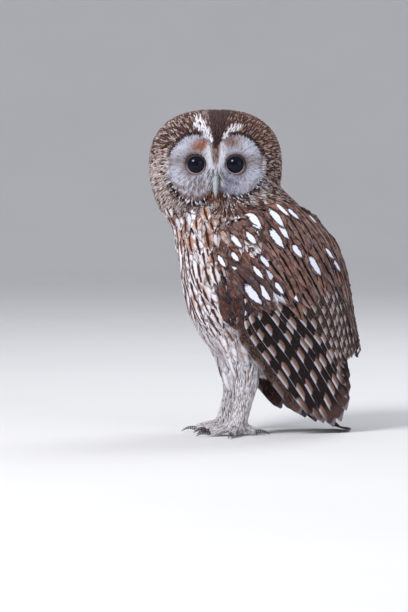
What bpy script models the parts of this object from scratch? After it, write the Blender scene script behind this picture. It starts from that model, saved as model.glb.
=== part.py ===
"""A tawny owl at life size, standing with folded wings and its head turned over its left shoulder.

Metres, +Z up. The bird faces -Y, its left side is +X, and it stands on Z = 0.
The head, neck and trunk are one form parted by thin cuts. The wings, tail, legs, feet, claws,
bill and eyes are pieces of their own, and every piece stays a small gap clear of the next.
"""

import math

import bmesh
import bpy
from mathutils import Matrix, Vector

# Driving dimensions
GAP = 0.0004  # clearance between two pieces that meet
HEAD_TURN = math.radians(75.0)  # towards the bird's left
HEAD_CENTRE = Vector((0.0, -0.0214, 0.2955))
HEAD_HALF_WIDTH = 0.0715
HEAD_TOP = 0.0600  # above the widest level
HEAD_BOTTOM = 0.0850
HEAD_WIDEST = -0.0050  # the widest level, against the head's centre
CROWN_SQUARENESS = 2.45  # exponent of the crown's outline, seen from the face
HEAD_FRONT = 0.0460
HEAD_BACK = 0.0600
FACE_FLATNESS = 0.76  # 1 leaves the front round, less makes it flatter

EYE_SPREAD = 0.0209  # each eye from the middle of the face
EYE_HEIGHT = -0.0036  # against the head's centre
EYE_RADIUS = 0.0115
EYE_DEPTH = 0.0335  # the eyeball's centre in front of the head's centre
DISH_DEPTH = 0.0060  # hollow of the face round each eye
DISH_REACH = 0.0190
DISC_HALF_WIDTH = 0.0510
DISC_RIM = 0.0018

SPINE_TOP = Vector((-0.0080, 0.2715))  # (y, z) of the trunk's axis
SPINE_END = Vector((0.0750, 0.0695))
SQUARENESS = 2.3  # exponent of the trunk's oval sections
WING_SQUARENESS = 2.4

NECK_SLOPE = math.radians(13.5)  # the neck's cuts rise towards the back
NECK_LEVEL = 0.2530  # height of the upper cut on the neck's axis
NECK_HEIGHT = 0.0140

WING_THICKNESS = 0.0060
PRIMARY_THICKNESS = 0.0040
TAIL_THICKNESS = 0.0075

LEG_SPREAD = 0.0245
LEG_BACK = -0.0040  # the foot's centre along Y
SHANK_TOP = 0.0560
SHANK_RADIUS = 0.0092
TOE_RADIUS = 0.0046
CLAW_LENGTH = 0.0165
CLAW_RADIUS = 0.0024

BODY_STEPS = 30  # points round a trunk section

# Trunk sections: place along the spine, half width, reach to the breast, reach to the back
TRUNK_SECTIONS = [
    (-0.040, 0.006, 0.008, 0.006),
    (0.000, 0.034, 0.048, 0.030),
    (0.080, 0.051, 0.069, 0.046),
    (0.160, 0.059, 0.075, 0.055),
    (0.280, 0.066, 0.080, 0.066),
    (0.420, 0.069, 0.087, 0.075),
    (0.560, 0.064, 0.090, 0.075),
    (0.700, 0.055, 0.085, 0.067),
    (0.820, 0.045, 0.074, 0.056),
    (0.930, 0.030, 0.053, 0.042),
    (1.000, 0.018, 0.025, 0.026),
    (1.020, 0.004, 0.005, 0.006),
]

# Folded arm of the wing: place along the spine, half width, reach to the breast, reach to the back
WING_SECTIONS = [
    (0.060, 0.052, 0.070, 0.047),
    (0.160, 0.064, 0.083, 0.059),
    (0.280, 0.071, 0.087, 0.073),
    (0.420, 0.0745, 0.091, 0.0825),
    (0.560, 0.0735, 0.093, 0.084),
    (0.700, 0.067, 0.091, 0.079),
    (0.820, 0.058, 0.083, 0.0735),
    (0.930, 0.048, 0.075, 0.0700),
    (1.060, 0.036, 0.066, 0.0620),
]

# Edges of the arm of the wing, from the shoulder down: turn from the back's midline, place along the spine
WING_FRONT_TURN = (118.0, 126.0, 127.0, 124.0, 130.0)
WING_BACK_TURN = (46.0, 24.0, 14.0, 12.0, 13.0)
WING_TOP_PLACE = (0.145, 0.150)  # at the front edge, at the back edge
WING_END_PLACE = (0.600, 1.045)

# Folded hand of the wing: place along the spine, front edge, back edge, half width at the crown
PRIMARY_SECTIONS = [
    (0.560, -0.066, 0.030, 0.0665),
    (0.720, -0.0645, 0.048, 0.0600),
    (0.860, -0.060, 0.052, 0.0520),
    (1.011, -0.050, 0.038, 0.0440),
    (1.100, -0.042, 0.030, 0.0400),
    (1.185, -0.032, 0.0265, 0.0365),
    (1.260, -0.0175, 0.0220, 0.0335),
    (1.325, -0.0010, 0.0100, 0.0310),
]
PRIMARY_CURL = 0.092  # reach at which the hand's surface would meet the midline

# Tail: y and z of the middle of its thickness on the midline, half width
TAIL_SECTIONS = [
    (0.0620, 0.1000, 0.0135),
    (0.0760, 0.0760, 0.0165),
    (0.0860, 0.0540, 0.0195),
    (0.0940, 0.0340, 0.0220),
    (0.1030, 0.0170, 0.0245),
    (0.1140, 0.0055, 0.0260),
    (0.1240, 0.0016, 0.0260),
    (0.1320, 0.0010, 0.0225),
]

# Toes of the left foot: name, turn from straight ahead towards the outside, length
TOES = [
    ("inner", -24.0, 0.0270),
    ("middle", 8.0, 0.0310),
    ("outer", 62.0, 0.0265),
    ("hind", 172.0, 0.0190),
]

FEATHER_BROWN = (0.150, 0.080, 0.050)
BREAST_BUFF = (0.420, 0.300, 0.220)
FACE_GREY = (0.450, 0.400, 0.370)
LEG_WHITE = (0.480, 0.420, 0.350)
CLAW_BLACK = (0.020, 0.018, 0.020)
BILL_HORN = (0.480, 0.500, 0.360)
EYE_BLACK = (0.004, 0.005, 0.010)


def clear_scene():
    for old in list(bpy.data.objects):
        bpy.data.objects.remove(old, do_unlink=True)


def new_collection(name):
    collection = bpy.data.collections.new(name)
    bpy.context.scene.collection.children.link(collection)
    return collection


def new_material(name, colour, roughness):
    material = bpy.data.materials.new(name)
    material.use_nodes = True
    shader = material.node_tree.nodes["Principled BSDF"]
    shader.inputs["Base Color"].default_value = (*colour, 1.0)
    shader.inputs["Roughness"].default_value = roughness
    shader.inputs["Metallic"].default_value = 0.0
    return material


def through(sections, count):
    """Rows read from a smooth curve through the sections, evenly spaced between first and last."""
    rows = []
    last = len(sections) - 1
    for step in range(count):
        place = step / (count - 1) * last
        i = min(int(place), last - 1)
        t = place - i
        before, a, b, after = (sections[min(max(i + k, 0), last)] for k in (-1, 0, 1, 2))
        rows.append(
            tuple(
                0.5 * (2 * q + (r - p) * t + (2 * p - 5 * q + 4 * r - s) * t * t
                       + (3 * q - p - 3 * r + s) * t ** 3)
                for p, q, r, s in zip(before, a, b, after)
            )
        )
    return rows


def at_place(sections, place):
    """The sections' values at a place along the spine, on a smooth curve through them."""
    last = len(sections) - 1
    i = 0
    while i < last - 1 and sections[i + 1][0] < place:
        i += 1
    a, b = sections[i], sections[i + 1]
    before, after = sections[max(i - 1, 0)], sections[min(i + 2, last)]
    span = b[0] - a[0]
    t = min(max((place - a[0]) / span, 0.0), 1.0)
    values = []
    for k in range(1, len(a)):
        into = (b[k] - before[k]) / (b[0] - before[0]) * span
        out = (after[k] - a[k]) / (after[0] - a[0]) * span
        values.append(
            (2 * t ** 3 - 3 * t * t + 1) * a[k]
            + (t ** 3 - 2 * t * t + t) * into
            + (3 * t * t - 2 * t ** 3) * b[k]
            + (t ** 3 - t * t) * out
        )
    return values


def spine_point(place, reach, side):
    """A point given by its place along the spine, its reach towards the back and its side."""
    along = SPINE_END - SPINE_TOP
    back = Vector((-along.y, along.x)).normalized()
    point = SPINE_TOP + along * place + back * reach
    return Vector((side, point.x, point.y))


def oval(turn, half_width, to_breast, to_back, squareness):
    """(side, reach to the back) on an oval section, with turn 0 at the back's midline."""
    c, s = math.cos(turn), math.sin(turn)
    side = math.copysign(abs(s) ** (2 / squareness), s) * half_width
    reach = math.copysign(abs(c) ** (2 / squareness), c) * (to_back if c > 0 else to_breast)
    return side, reach


def mesh_object(name, bm, collection, material=None):
    mesh = bpy.data.meshes.new(name)
    bm.to_mesh(mesh)
    bm.free()
    obj = bpy.data.objects.new(name, mesh)
    collection.objects.link(obj)
    if material:
        mesh.materials.append(material)
    mesh.shade_smooth()
    return obj


def loft(name, rings, collection, material=None):
    """A closed body over rings of points, capped flat at both ends."""
    bm = bmesh.new()
    loops = [[bm.verts.new(point) for point in ring] for ring in rings]
    for first, second in zip(loops, loops[1:]):
        for k in range(len(first)):
            following = (k + 1) % len(first)
            bm.faces.new((first[k], first[following], second[following], second[k]))
    bm.faces.new(loops[0])
    bm.faces.new(loops[-1])
    bmesh.ops.recalc_face_normals(bm, faces=bm.faces)
    return mesh_object(name, bm, collection, material)


def as_cutter(obj):
    obj.hide_render = True
    obj.display_type = "WIRE"
    return obj


def settled(obj, name, collection):
    """A new plain object that holds this one's evaluated shape."""
    bpy.context.view_layer.update()
    graph = bpy.context.evaluated_depsgraph_get()
    mesh = bpy.data.meshes.new_from_object(obj.evaluated_get(graph), depsgraph=graph)
    mesh.name = name
    made = bpy.data.objects.new(name, mesh)
    made.matrix_world = obj.matrix_world.copy()
    collection.objects.link(made)
    return made


def swollen(obj, collection, by=GAP):
    """A cutter of this object's shape, larger all round by the clearance."""
    cutter = as_cutter(settled(obj, obj.name + "_clearance", collection))
    swell = cutter.modifiers.new("Clearance", "DISPLACE")
    swell.strength = by
    swell.mid_level = 0.0
    return cutter


def combine(obj, other, operation):
    modifier = obj.modifiers.new(operation.title(), "BOOLEAN")
    modifier.operation = operation
    modifier.solver = "EXACT"
    modifier.object = other


def big_box(name, centre, size, collection, turn=0.0):
    bm = bmesh.new()
    bmesh.ops.create_cube(bm, size=1.0)
    bmesh.ops.scale(bm, verts=bm.verts, vec=Vector(size))
    bmesh.ops.rotate(bm, verts=bm.verts, matrix=Matrix.Rotation(turn, 3, "X"))
    bmesh.ops.translate(bm, verts=bm.verts, vec=Vector(centre))
    return as_cutter(mesh_object(name, bm, collection))


def head_frame():
    """Carries head coordinates (the bird's right, forward, up) into the body's."""
    forward = Vector((math.sin(HEAD_TURN), -math.cos(HEAD_TURN), 0.0))
    up = Vector((0.0, 0.0, 1.0))
    right = forward.cross(up)
    turn = Matrix((right, forward, up)).transposed().to_4x4()
    return Matrix.Translation(HEAD_CENTRE) @ turn


def head_point(direction):
    """The head's surface in a direction from its centre, in head coordinates."""
    across, ahead, up = direction
    if up > 0:
        ring = math.hypot(across, up)
        power = CROWN_SQUARENESS
        fuller = ((abs(across) / ring) ** power + (up / ring) ** power) ** (-1 / power)
        across, up = across * fuller, up * fuller
    x = across * HEAD_HALF_WIDTH
    z = up * (HEAD_TOP if up > 0 else HEAD_BOTTOM) + HEAD_WIDEST
    if ahead <= 0:
        return Vector((x, ahead * HEAD_BACK, z))
    y = HEAD_FRONT * ahead ** FACE_FLATNESS
    for side in (-1, 1):
        away = math.hypot(x - side * EYE_SPREAD, z - EYE_HEIGHT)
        y -= DISH_DEPTH * math.exp(-((away / DISH_REACH) ** 2))
    rim = math.hypot(x, 1.25 * z + 0.006) / DISC_HALF_WIDTH
    y += DISC_RIM * math.exp(-(((rim - 1.0) / 0.13) ** 2))
    return Vector((x, y, z))


def head_form(collection):
    bm = bmesh.new()
    bmesh.ops.create_uvsphere(bm, u_segments=36, v_segments=22, radius=1.0)
    for vertex in bm.verts:
        vertex.co = head_point(vertex.co.normalized())
    form = mesh_object("head_form", bm, collection)
    form.data.transform(head_frame())
    return as_cutter(form)


def trunk_form(collection):
    rings = []
    for place, half_width, to_breast, to_back in through(TRUNK_SECTIONS, 23):
        ring = []
        for step in range(BODY_STEPS):
            turn = step / BODY_STEPS * math.tau
            side, reach = oval(turn, half_width, to_breast, to_back, SQUARENESS)
            ring.append(spine_point(place, reach, side))
        rings.append(ring)
    return as_cutter(loft("trunk_form", rings, collection))


def whole_form(collection):
    """Head and trunk as one form, which the neck's cuts then part."""
    head = head_form(collection)
    combine(head, trunk_form(collection), "UNION")
    return as_cutter(settled(head, "body_form", collection))


def neck_cut(level, name, collection, above):
    """A box that holds all that is above, or below, one of the neck's slanting cuts."""
    reach = 0.5
    tilt = Matrix.Rotation(NECK_SLOPE, 3, "X") @ Vector((0.0, 0.0, reach / 2 if above else -reach / 2))
    centre = Vector((0.0, HEAD_CENTRE.y, level)) + tilt
    return big_box(name, centre, (reach, reach, reach), collection, NECK_SLOPE)


def body_pieces(form, parts, helpers, materials):
    """The head, neck and trunk, parted from the whole form."""
    lower = NECK_LEVEL - NECK_HEIGHT
    head = settled(form, "head", parts)
    combine(head, neck_cut(NECK_LEVEL + GAP / 2, "over_neck", helpers, True), "INTERSECT")
    neck = settled(form, "neck", parts)
    combine(neck, neck_cut(NECK_LEVEL - GAP / 2, "under_head", helpers, False), "INTERSECT")
    combine(neck, neck_cut(lower + GAP / 2, "over_trunk", helpers, True), "INTERSECT")
    trunk = settled(form, "trunk", parts)
    combine(trunk, neck_cut(lower - GAP / 2, "under_neck", helpers, False), "INTERSECT")
    for piece, material in ((head, "face"), (neck, "breast"), (trunk, "breast")):
        piece.data.materials.clear()
        piece.data.materials.append(materials[material])
        piece.data.shade_smooth()
    return head, neck, trunk


def mixed(values, share):
    """A value read from evenly spaced ones, straight between neighbours."""
    place = share * (len(values) - 1)
    i = min(int(place), len(values) - 2)
    return values[i] + (values[i + 1] - values[i]) * (place - i)


def plate(name, rows, columns, surface, thickness, thin, side, collection, material):
    """A curved plate: a grid laid on a surface and given thickness, thinner where thin says so."""
    bm = bmesh.new()
    bmesh.ops.create_grid(bm, x_segments=columns, y_segments=rows, size=0.5)
    shares = []
    for vertex in bm.verts:
        across, down = vertex.co.x + 0.5, vertex.co.y + 0.5
        point = surface(across, down)
        vertex.co = Vector((point.x * side, point.y, point.z))
        shares.append(thin(across, down))
    obj = mesh_object(name, bm, collection, material)
    group = obj.vertex_groups.new(name="thickness")
    for index, share in enumerate(shares):
        group.add([index], share, "REPLACE")
    solid = obj.modifiers.new("Thickness", "SOLIDIFY")
    solid.thickness = thickness
    solid.offset = 0.0
    solid.vertex_group = "thickness"
    solid.thickness_vertex_group = 0.15
    return obj


def wing_surface(across, down):
    """The folded arm of the wing: across runs from its front edge to the back, down to its end."""
    turn = (1 - across) * mixed(WING_FRONT_TURN, down) + across * mixed(WING_BACK_TURN, down)
    top = (1 - across) * WING_TOP_PLACE[0] + across * WING_TOP_PLACE[1]
    lean = across ** 1.3
    end = (1 - lean) * WING_END_PLACE[0] + lean * WING_END_PLACE[1]
    place = top + (end - top) * down
    half_width, to_breast, to_back = at_place(WING_SECTIONS, place)
    side, reach = oval(math.radians(turn), half_width, to_breast, to_back, WING_SQUARENESS)
    return spine_point(place, reach, side)


def primary_surface(across, down):
    """The folded hand of the wing, which comes out from under the arm."""
    first, last = PRIMARY_SECTIONS[0][0], PRIMARY_SECTIONS[-1][0]
    place = first + (last - first) * down
    front, back, half_width = at_place(PRIMARY_SECTIONS, place)
    reach = front + (back - front) * across
    limit = PRIMARY_CURL if reach < 0 else at_place(WING_SECTIONS, place)[2]
    curl = (1.0 - abs(reach / limit) ** WING_SQUARENESS) ** (1 / WING_SQUARENESS)
    return spine_point(place, reach, half_width * curl)


def edge_thinning(across, down):
    """Full thickness in the middle of a plate, thin at its edges and towards its end."""
    edge = min(across, 1 - across, down * 2) * 5
    return max(min(1.0, edge), 0.12) * (1.0 - 0.6 * down)


def wings(parts, materials):
    made = []
    for word, side in (("left", 1), ("right", -1)):
        arm = plate(
            f"wing_{word}", 13, 12, wing_surface, WING_THICKNESS,
            edge_thinning, side, parts, materials["feather"],
        )
        hand = plate(
            f"primaries_{word}", 11, 7, primary_surface, PRIMARY_THICKNESS,
            edge_thinning, side, parts, materials["feather"],
        )
        made.append((arm, hand))
    return made


def tail_surface(across, down):
    """The folded tail, arched a little across, its end laid along the floor."""
    y, z, half_width = through(TAIL_SECTIONS, 57)[round(down * 56)]
    off_middle = 2 * across - 1
    droop = 0.0030 * off_middle * off_middle * (1 - down)
    return Vector((off_middle * half_width, y, z - droop))


def tail_thinning(across, down):
    edge = min(1.0, 6 * min(across, 1 - across) + 0.35)
    return edge * (1.0 - 0.62 * down)


def leg_ring(centre, radius, slope, steps=14):
    """A level-ish ring round a leg: slope tips it so that it stands square to the leg."""
    tip = Matrix.Rotation(slope, 3, "X")
    return [
        Vector(centre) + tip @ Vector((radius * math.cos(k / steps * math.tau),
                                       radius * 1.12 * math.sin(k / steps * math.tau), 0.0))
        for k in range(steps)
    ]


def thigh(word, side, parts, materials):
    """The feathered upper leg, from inside the belly to the hock."""
    x = side * LEG_SPREAD
    sections = [
        (-0.004, 0.120, 0.0190),
        (0.000, 0.098, 0.0185),
        (0.004, 0.076, 0.0145),
        (0.006, SHANK_TOP + GAP / 2, 0.0108),
    ]
    rings = [leg_ring((x, y, z), radius, 0.0) for y, z, radius in through(sections, 7)]
    return loft(f"thigh_{word}", rings, parts, materials["leg"])


def shank(word, side, parts, materials):
    """The feathered lower leg, from the hock to the foot."""
    x = side * LEG_SPREAD
    sections = [
        (0.006, SHANK_TOP - GAP / 2, 0.0106),
        (0.005, 0.044, SHANK_RADIUS),
        (0.001, 0.028, SHANK_RADIUS * 0.94),
        (LEG_BACK, 0.0125, SHANK_RADIUS * 1.02),
    ]
    rings = [leg_ring((x, y, z), radius, 0.0) for y, z, radius in through(sections, 8)]
    return loft(f"shank_{word}", rings, parts, materials["leg"])


def toe_direction(turn, side):
    return Vector((math.sin(math.radians(turn)) * side, -math.cos(math.radians(turn)), 0.0))


def tapered_tube(name, points, radii, collection, steps=8):
    """A tube of round sections along points, with a thickness of its own at each."""
    rings = []
    for k, point in enumerate(points):
        ahead = (points[min(k + 1, len(points) - 1)] - points[max(k - 1, 0)]).normalized()
        level = ahead.cross(Vector((0.0, 0.0, 1.0))).normalized()
        over = level.cross(ahead)
        rings.append([
            point + level * (radii[k] * math.cos(j / steps * math.tau))
            + over * (radii[k] * math.sin(j / steps * math.tau))
            for j in range(steps)
        ])
    return loft(name, rings, collection)


def toe_line(turn, length, side, count=6):
    """Centres of a toe, from inside the foot, over a low arch and down to the claw's root."""
    root = Vector((side * LEG_SPREAD, LEG_BACK, 0.0))
    ahead = toe_direction(turn, side)
    line = []
    for k in range(count):
        share = k / (count - 1)
        height = 0.0075 - 0.0033 * share + 0.0016 * math.sin(share * math.pi)
        line.append(root + ahead * (length * share) + Vector((0.0, 0.0, height)))
    return line


def foot(word, side, parts, helpers, materials, floor, leg):
    """Four feathered toes on a round palm, flat where they bear on the floor."""
    bm = bmesh.new()
    bmesh.ops.create_uvsphere(bm, u_segments=14, v_segments=8, radius=0.0088)
    bmesh.ops.translate(bm, verts=bm.verts, vec=Vector((side * LEG_SPREAD, LEG_BACK, 0.0078)))
    palm = as_cutter(mesh_object(f"palm_{word}", bm, helpers))
    for toe, turn, length in TOES:
        line = toe_line(turn, length, side)
        radii = [TOE_RADIUS * (1.08 - 0.16 * k / 5) for k in range(6)]
        tube = tapered_tube(f"toe_{toe}_{word}", line, radii, helpers)
        combine(palm, as_cutter(tube), "UNION")
    combine(palm, floor, "DIFFERENCE")
    combine(palm, swollen(leg, helpers), "DIFFERENCE")
    made = settled(palm, f"foot_{word}", parts)
    made.data.materials.clear()
    made.data.materials.append(materials["leg"])
    made.data.shade_smooth()
    return made


def claw(toe, turn, length, word, side, parts, materials):
    """A hooked claw that leaves the toe's end level and curves down to the floor."""
    end = toe_line(turn, length, side)[-1]
    ahead = toe_direction(turn, side)
    bend = math.radians(62.0)
    radius = CLAW_LENGTH / bend
    rise = math.radians(24.0)  # the claw leaves the toe pointing up by this much
    points, radii = [], []
    for k in range(8):
        share = k / 7
        angle = rise - bend * share
        out = radius * (math.sin(rise) - math.sin(angle))
        down = radius * (math.cos(angle) - math.cos(rise))
        points.append(end + ahead * (out + 0.0012) + Vector((0.0, 0.0, down - 0.0006)))
        radii.append(CLAW_RADIUS * (1.0 - share) ** 0.75 + 0.0003)
    lowest = min(point.z - size for point, size in zip(points, radii))
    lift = 0.0002 - lowest
    points = [point + Vector((0.0, 0.0, lift * (k / 7) ** 1.5)) for k, point in enumerate(points)]
    piece = tapered_tube(f"claw_{toe}_{word}", points, radii, parts, steps=7)
    piece.data.materials.append(materials["claw"])
    return piece


def legs(trunk_clear, parts, helpers, materials, floor):
    for word, side in (("left", 1), ("right", -1)):
        upper = thigh(word, side, parts, materials)
        combine(upper, trunk_clear, "DIFFERENCE")
        lower = shank(word, side, parts, materials)
        base = foot(word, side, parts, helpers, materials, floor, lower)
        clear = swollen(base, helpers)
        for toe, turn, length in TOES:
            combine(claw(toe, turn, length, word, side, parts, materials), clear, "DIFFERENCE")


def bill(parts, helpers, materials):
    """The hooked upper bill and the small lower one under it."""
    frame = head_frame()
    upper_line = [  # forward, up, half width, half depth
        (0.0385, -0.0150, 0.0042, 0.0048),
        (0.0450, -0.0170, 0.0042, 0.0055),
        (0.0505, -0.0215, 0.0040, 0.0056),
        (0.0530, -0.0275, 0.0034, 0.0047),
        (0.0530, -0.0335, 0.0022, 0.0030),
        (0.0512, -0.0388, 0.0006, 0.0009),
    ]
    lower_line = [
        (0.0380, -0.0300, 0.0036, 0.0024),
        (0.0430, -0.0315, 0.0034, 0.0022),
        (0.0462, -0.0335, 0.0022, 0.0015),
        (0.0474, -0.0350, 0.0008, 0.0006),
    ]
    made = []
    for name, line, count in (("bill_upper", upper_line, 11), ("bill_lower", lower_line, 7)):
        rows = through(line, count)
        rings = []
        for k, (y, z, half_width, half_depth) in enumerate(rows):
            first, second = rows[max(k - 1, 0)], rows[min(k + 1, count - 1)]
            ahead = Vector((0.0, second[0] - first[0], second[1] - first[1])).normalized()
            over = Vector((1.0, 0.0, 0.0)).cross(ahead)
            rings.append([
                Vector((0.0, y, z))
                + Vector((1.0, 0.0, 0.0)) * (half_width * math.cos(j / 12 * math.tau))
                + over * (half_depth * math.sin(j / 12 * math.tau))
                for j in range(12)
            ])
        piece = loft(name, rings, parts, materials["bill"])
        piece.data.transform(frame)
        made.append(piece)
    combine(made[1], swollen(made[0], helpers), "DIFFERENCE")
    return made


def eyes(parts, materials):
    frame = head_frame()
    made = []
    for word, side in (("left", -1), ("right", 1)):
        bm = bmesh.new()
        bmesh.ops.create_uvsphere(bm, u_segments=16, v_segments=11, radius=EYE_RADIUS)
        bmesh.ops.rotate(bm, verts=bm.verts, matrix=Matrix.Rotation(math.pi / 2, 3, "X"))
        bmesh.ops.translate(bm, verts=bm.verts, vec=Vector((side * EYE_SPREAD, EYE_DEPTH, EYE_HEIGHT)))
        piece = mesh_object(f"eye_{word}", bm, parts, materials["eye"])
        piece.data.transform(frame)
        made.append(piece)
    return made


def stand_on_origin(collections, nodes):
    """Moves the whole bird so that the origin is under the middle of its box."""
    bpy.context.view_layer.update()
    graph = bpy.context.evaluated_depsgraph_get()
    corners = []
    for node in nodes:
        shape = node.evaluated_get(graph)
        corners += [shape.matrix_world @ vertex.co for vertex in shape.data.vertices]
    low = [min(corner[k] for corner in corners) for k in range(3)]
    high = [max(corner[k] for corner in corners) for k in range(3)]
    owl = bpy.data.objects.new("tawny_owl", None)
    collections[0].objects.link(owl)
    for collection in collections:
        for obj in collection.objects:
            if obj is not owl:
                obj.parent = owl
    owl.location = (-(low[0] + high[0]) / 2, -(low[1] + high[1]) / 2, -low[2])


def main():
    clear_scene()
    parts = new_collection("tawny_owl")
    helpers = new_collection("cutters")
    materials = {
        "feather": new_material("feather", FEATHER_BROWN, 0.8),
        "breast": new_material("breast", BREAST_BUFF, 0.85),
        "face": new_material("face", FACE_GREY, 0.85),
        "leg": new_material("leg", LEG_WHITE, 0.85),
        "claw": new_material("claw", CLAW_BLACK, 0.35),
        "bill": new_material("bill", BILL_HORN, 0.4),
        "eye": new_material("eye", EYE_BLACK, 0.05),
    }
    floor = big_box("floor_cut", (0.0, 0.05, -0.05), (0.6, 0.6, 0.1), helpers)

    form = whole_form(helpers)
    head, neck, trunk = body_pieces(form, parts, helpers, materials)
    for piece in eyes(parts, materials) + bill(parts, helpers, materials):
        combine(head, swollen(piece, helpers), "DIFFERENCE")

    tail = plate(
        "tail", 15, 7, tail_surface, TAIL_THICKNESS, tail_thinning, 1, parts, materials["feather"]
    )
    for arm, hand in wings(parts, materials):
        arm_clear = swollen(arm, helpers)
        for piece in (hand, head, neck, trunk):
            combine(piece, arm_clear, "DIFFERENCE")
    trunk_clear = swollen(trunk, helpers)
    combine(tail, trunk_clear, "DIFFERENCE")
    combine(tail, floor, "DIFFERENCE")
    legs(trunk_clear, parts, helpers, materials, floor)
    stand_on_origin((parts, helpers), [obj for obj in parts.objects if obj.type == "MESH"])


main()
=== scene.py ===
# %% [markdown]
# # A tawny owl
#
# A museum-like model of a tawny owl, finished in feathers over one skin. The solids it is built
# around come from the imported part, in metres, +Z up, with the bird's breast towards -Y and its
# left side towards +X.

# %% The frame
import math
from functools import partial

import bmesh
import bpy
import numpy as np
from mathutils import Matrix, Vector
from mathutils.bvhtree import BVHTree


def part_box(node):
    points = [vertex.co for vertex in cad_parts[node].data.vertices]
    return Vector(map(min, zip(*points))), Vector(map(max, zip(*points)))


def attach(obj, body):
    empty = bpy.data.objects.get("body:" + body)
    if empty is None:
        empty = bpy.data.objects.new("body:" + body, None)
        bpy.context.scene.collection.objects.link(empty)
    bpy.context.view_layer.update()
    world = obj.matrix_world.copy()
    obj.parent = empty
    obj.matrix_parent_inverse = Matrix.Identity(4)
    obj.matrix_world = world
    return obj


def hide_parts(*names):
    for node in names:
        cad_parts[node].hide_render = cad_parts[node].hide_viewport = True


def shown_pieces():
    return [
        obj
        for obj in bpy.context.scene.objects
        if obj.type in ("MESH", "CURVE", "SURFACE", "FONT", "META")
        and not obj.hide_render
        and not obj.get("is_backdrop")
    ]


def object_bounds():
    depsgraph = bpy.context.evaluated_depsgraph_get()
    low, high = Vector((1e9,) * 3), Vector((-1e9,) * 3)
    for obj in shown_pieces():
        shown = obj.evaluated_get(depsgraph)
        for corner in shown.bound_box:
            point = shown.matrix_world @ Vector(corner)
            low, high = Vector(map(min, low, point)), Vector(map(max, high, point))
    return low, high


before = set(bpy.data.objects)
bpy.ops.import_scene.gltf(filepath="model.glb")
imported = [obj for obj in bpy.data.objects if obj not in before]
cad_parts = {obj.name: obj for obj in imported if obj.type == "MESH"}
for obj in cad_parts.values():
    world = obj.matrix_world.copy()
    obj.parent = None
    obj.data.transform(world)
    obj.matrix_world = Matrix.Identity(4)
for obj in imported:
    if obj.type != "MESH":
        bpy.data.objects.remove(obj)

cad_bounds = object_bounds()
MM = 0.001
SIDES = (("left", 1), ("right", -1))
print("box of the solids:", [tuple(round(v, 4) for v in corner) for corner in cad_bounds])

# %% [markdown]
# ## Landmarks
#
# Every place is worked out from the solids. The eyes give the head's own axes: `across` is the
# bird's left, which a viewer of the face sees on the right, `ahead` is where the face looks,
# and `up`. The trunk has a slanting spine, and a place on the body is told by how far down the
# spine it is, how far it is to the back, and its side.

# %% Head and spine axes


def middle(node):
    low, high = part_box(node)
    return (np.array(low) + np.array(high)) / 2


EYES = {word: middle(f"eye_{word}") for word, side in SIDES}
EYE_RADIUS = (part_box("eye_left")[1][2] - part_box("eye_left")[0][2]) / 2
between_eyes = (EYES["left"] + EYES["right"]) / 2
UP = np.array((0.0, 0.0, 1.0))
ACROSS = (EYES["left"] - EYES["right"]) / np.linalg.norm(EYES["left"] - EYES["right"])
AHEAD = np.cross(ACROSS, UP)
EYE_SPREAD = np.linalg.norm(EYES["left"] - EYES["right"]) / 2
EYE_DEPTH = 0.0335  # the eyeball's centre in front of the head's
EYE_HEIGHT = -0.0036
HEAD_CENTRE = between_eyes - AHEAD * EYE_DEPTH - UP * EYE_HEIGHT
head_turn = math.degrees(math.atan2(AHEAD[0], -AHEAD[1]))

DESIGN_SHIFT = HEAD_CENTRE[1] + 0.0214  # the part's own origin was moved along Y by this
SPINE_TOP = np.array((0.0, -0.0080 + DESIGN_SHIFT, 0.2715))
SPINE_END = np.array((0.0, 0.0750 + DESIGN_SHIFT, 0.0695))
SPINE_LENGTH = np.linalg.norm(SPINE_END - SPINE_TOP)
DOWN_SPINE = (SPINE_END - SPINE_TOP) / SPINE_LENGTH
TO_BACK = np.array((0.0, -DOWN_SPINE[2], DOWN_SPINE[1]))
print(f"head turned {head_turn:.1f} degrees, spine {SPINE_LENGTH:.4f} m, shift {DESIGN_SHIFT:.4f}")


def in_head(points):
    """Columns across, ahead and up of points, in millimetres from the head's centre."""
    off = (points - HEAD_CENTRE) / MM
    return off @ ACROSS, off @ AHEAD, off @ UP


def on_spine(points):
    """Columns place, reach to the back and side of points; reach and side are in metres."""
    off = points - SPINE_TOP
    return off @ DOWN_SPINE / SPINE_LENGTH, off @ TO_BACK, points[..., 0]


def unit(vectors):
    return vectors / np.maximum(np.linalg.norm(vectors, axis=-1, keepdims=True), 1e-9)


def ramp(value, low, high):
    """0 below low, 1 above high, smooth between."""
    t = np.clip((value - low) / (high - low), 0.0, 1.0)
    return t * t * (3 - 2 * t)


# %% [markdown]
# ## Colours
#
# An owl has few pigments: a dark brown, a rufous brown and a buff, over white. Every marking
# is a mixture of these, so they are named once. A pattern could be an image wrapped round the
# bird, but then it wouldn't follow the feathers. Here each feather gets its own colour by the
# place of its tip, with soft noise for the uneven parts.

# %% Palette


def linear(red, green, blue):
    """Turns everyday 0 to 255 colour into the linear light that Blender works in."""
    c = np.array((red, green, blue)) / 255
    return np.where(c <= 0.04045, c / 12.92, ((c + 0.055) / 1.055) ** 2.4)


UMBER = linear(46, 33, 37)
CROWN_BROWN = linear(72, 55, 58)
BROWN = linear(120, 91, 84)
RUFOUS = linear(172, 108, 74)
BUFF = linear(194, 161, 146)
GREY_BROWN = linear(140, 120, 118)
# DISC_GREY is the facial disc's own pale grey, tinted blue as painted cool light.
DISC_GREY = linear(206, 208, 224)
WHITE = linear(240, 239, 248)
HORN_PALE = linear(178, 188, 194)
LID_PINK = linear(156, 134, 138)


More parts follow.
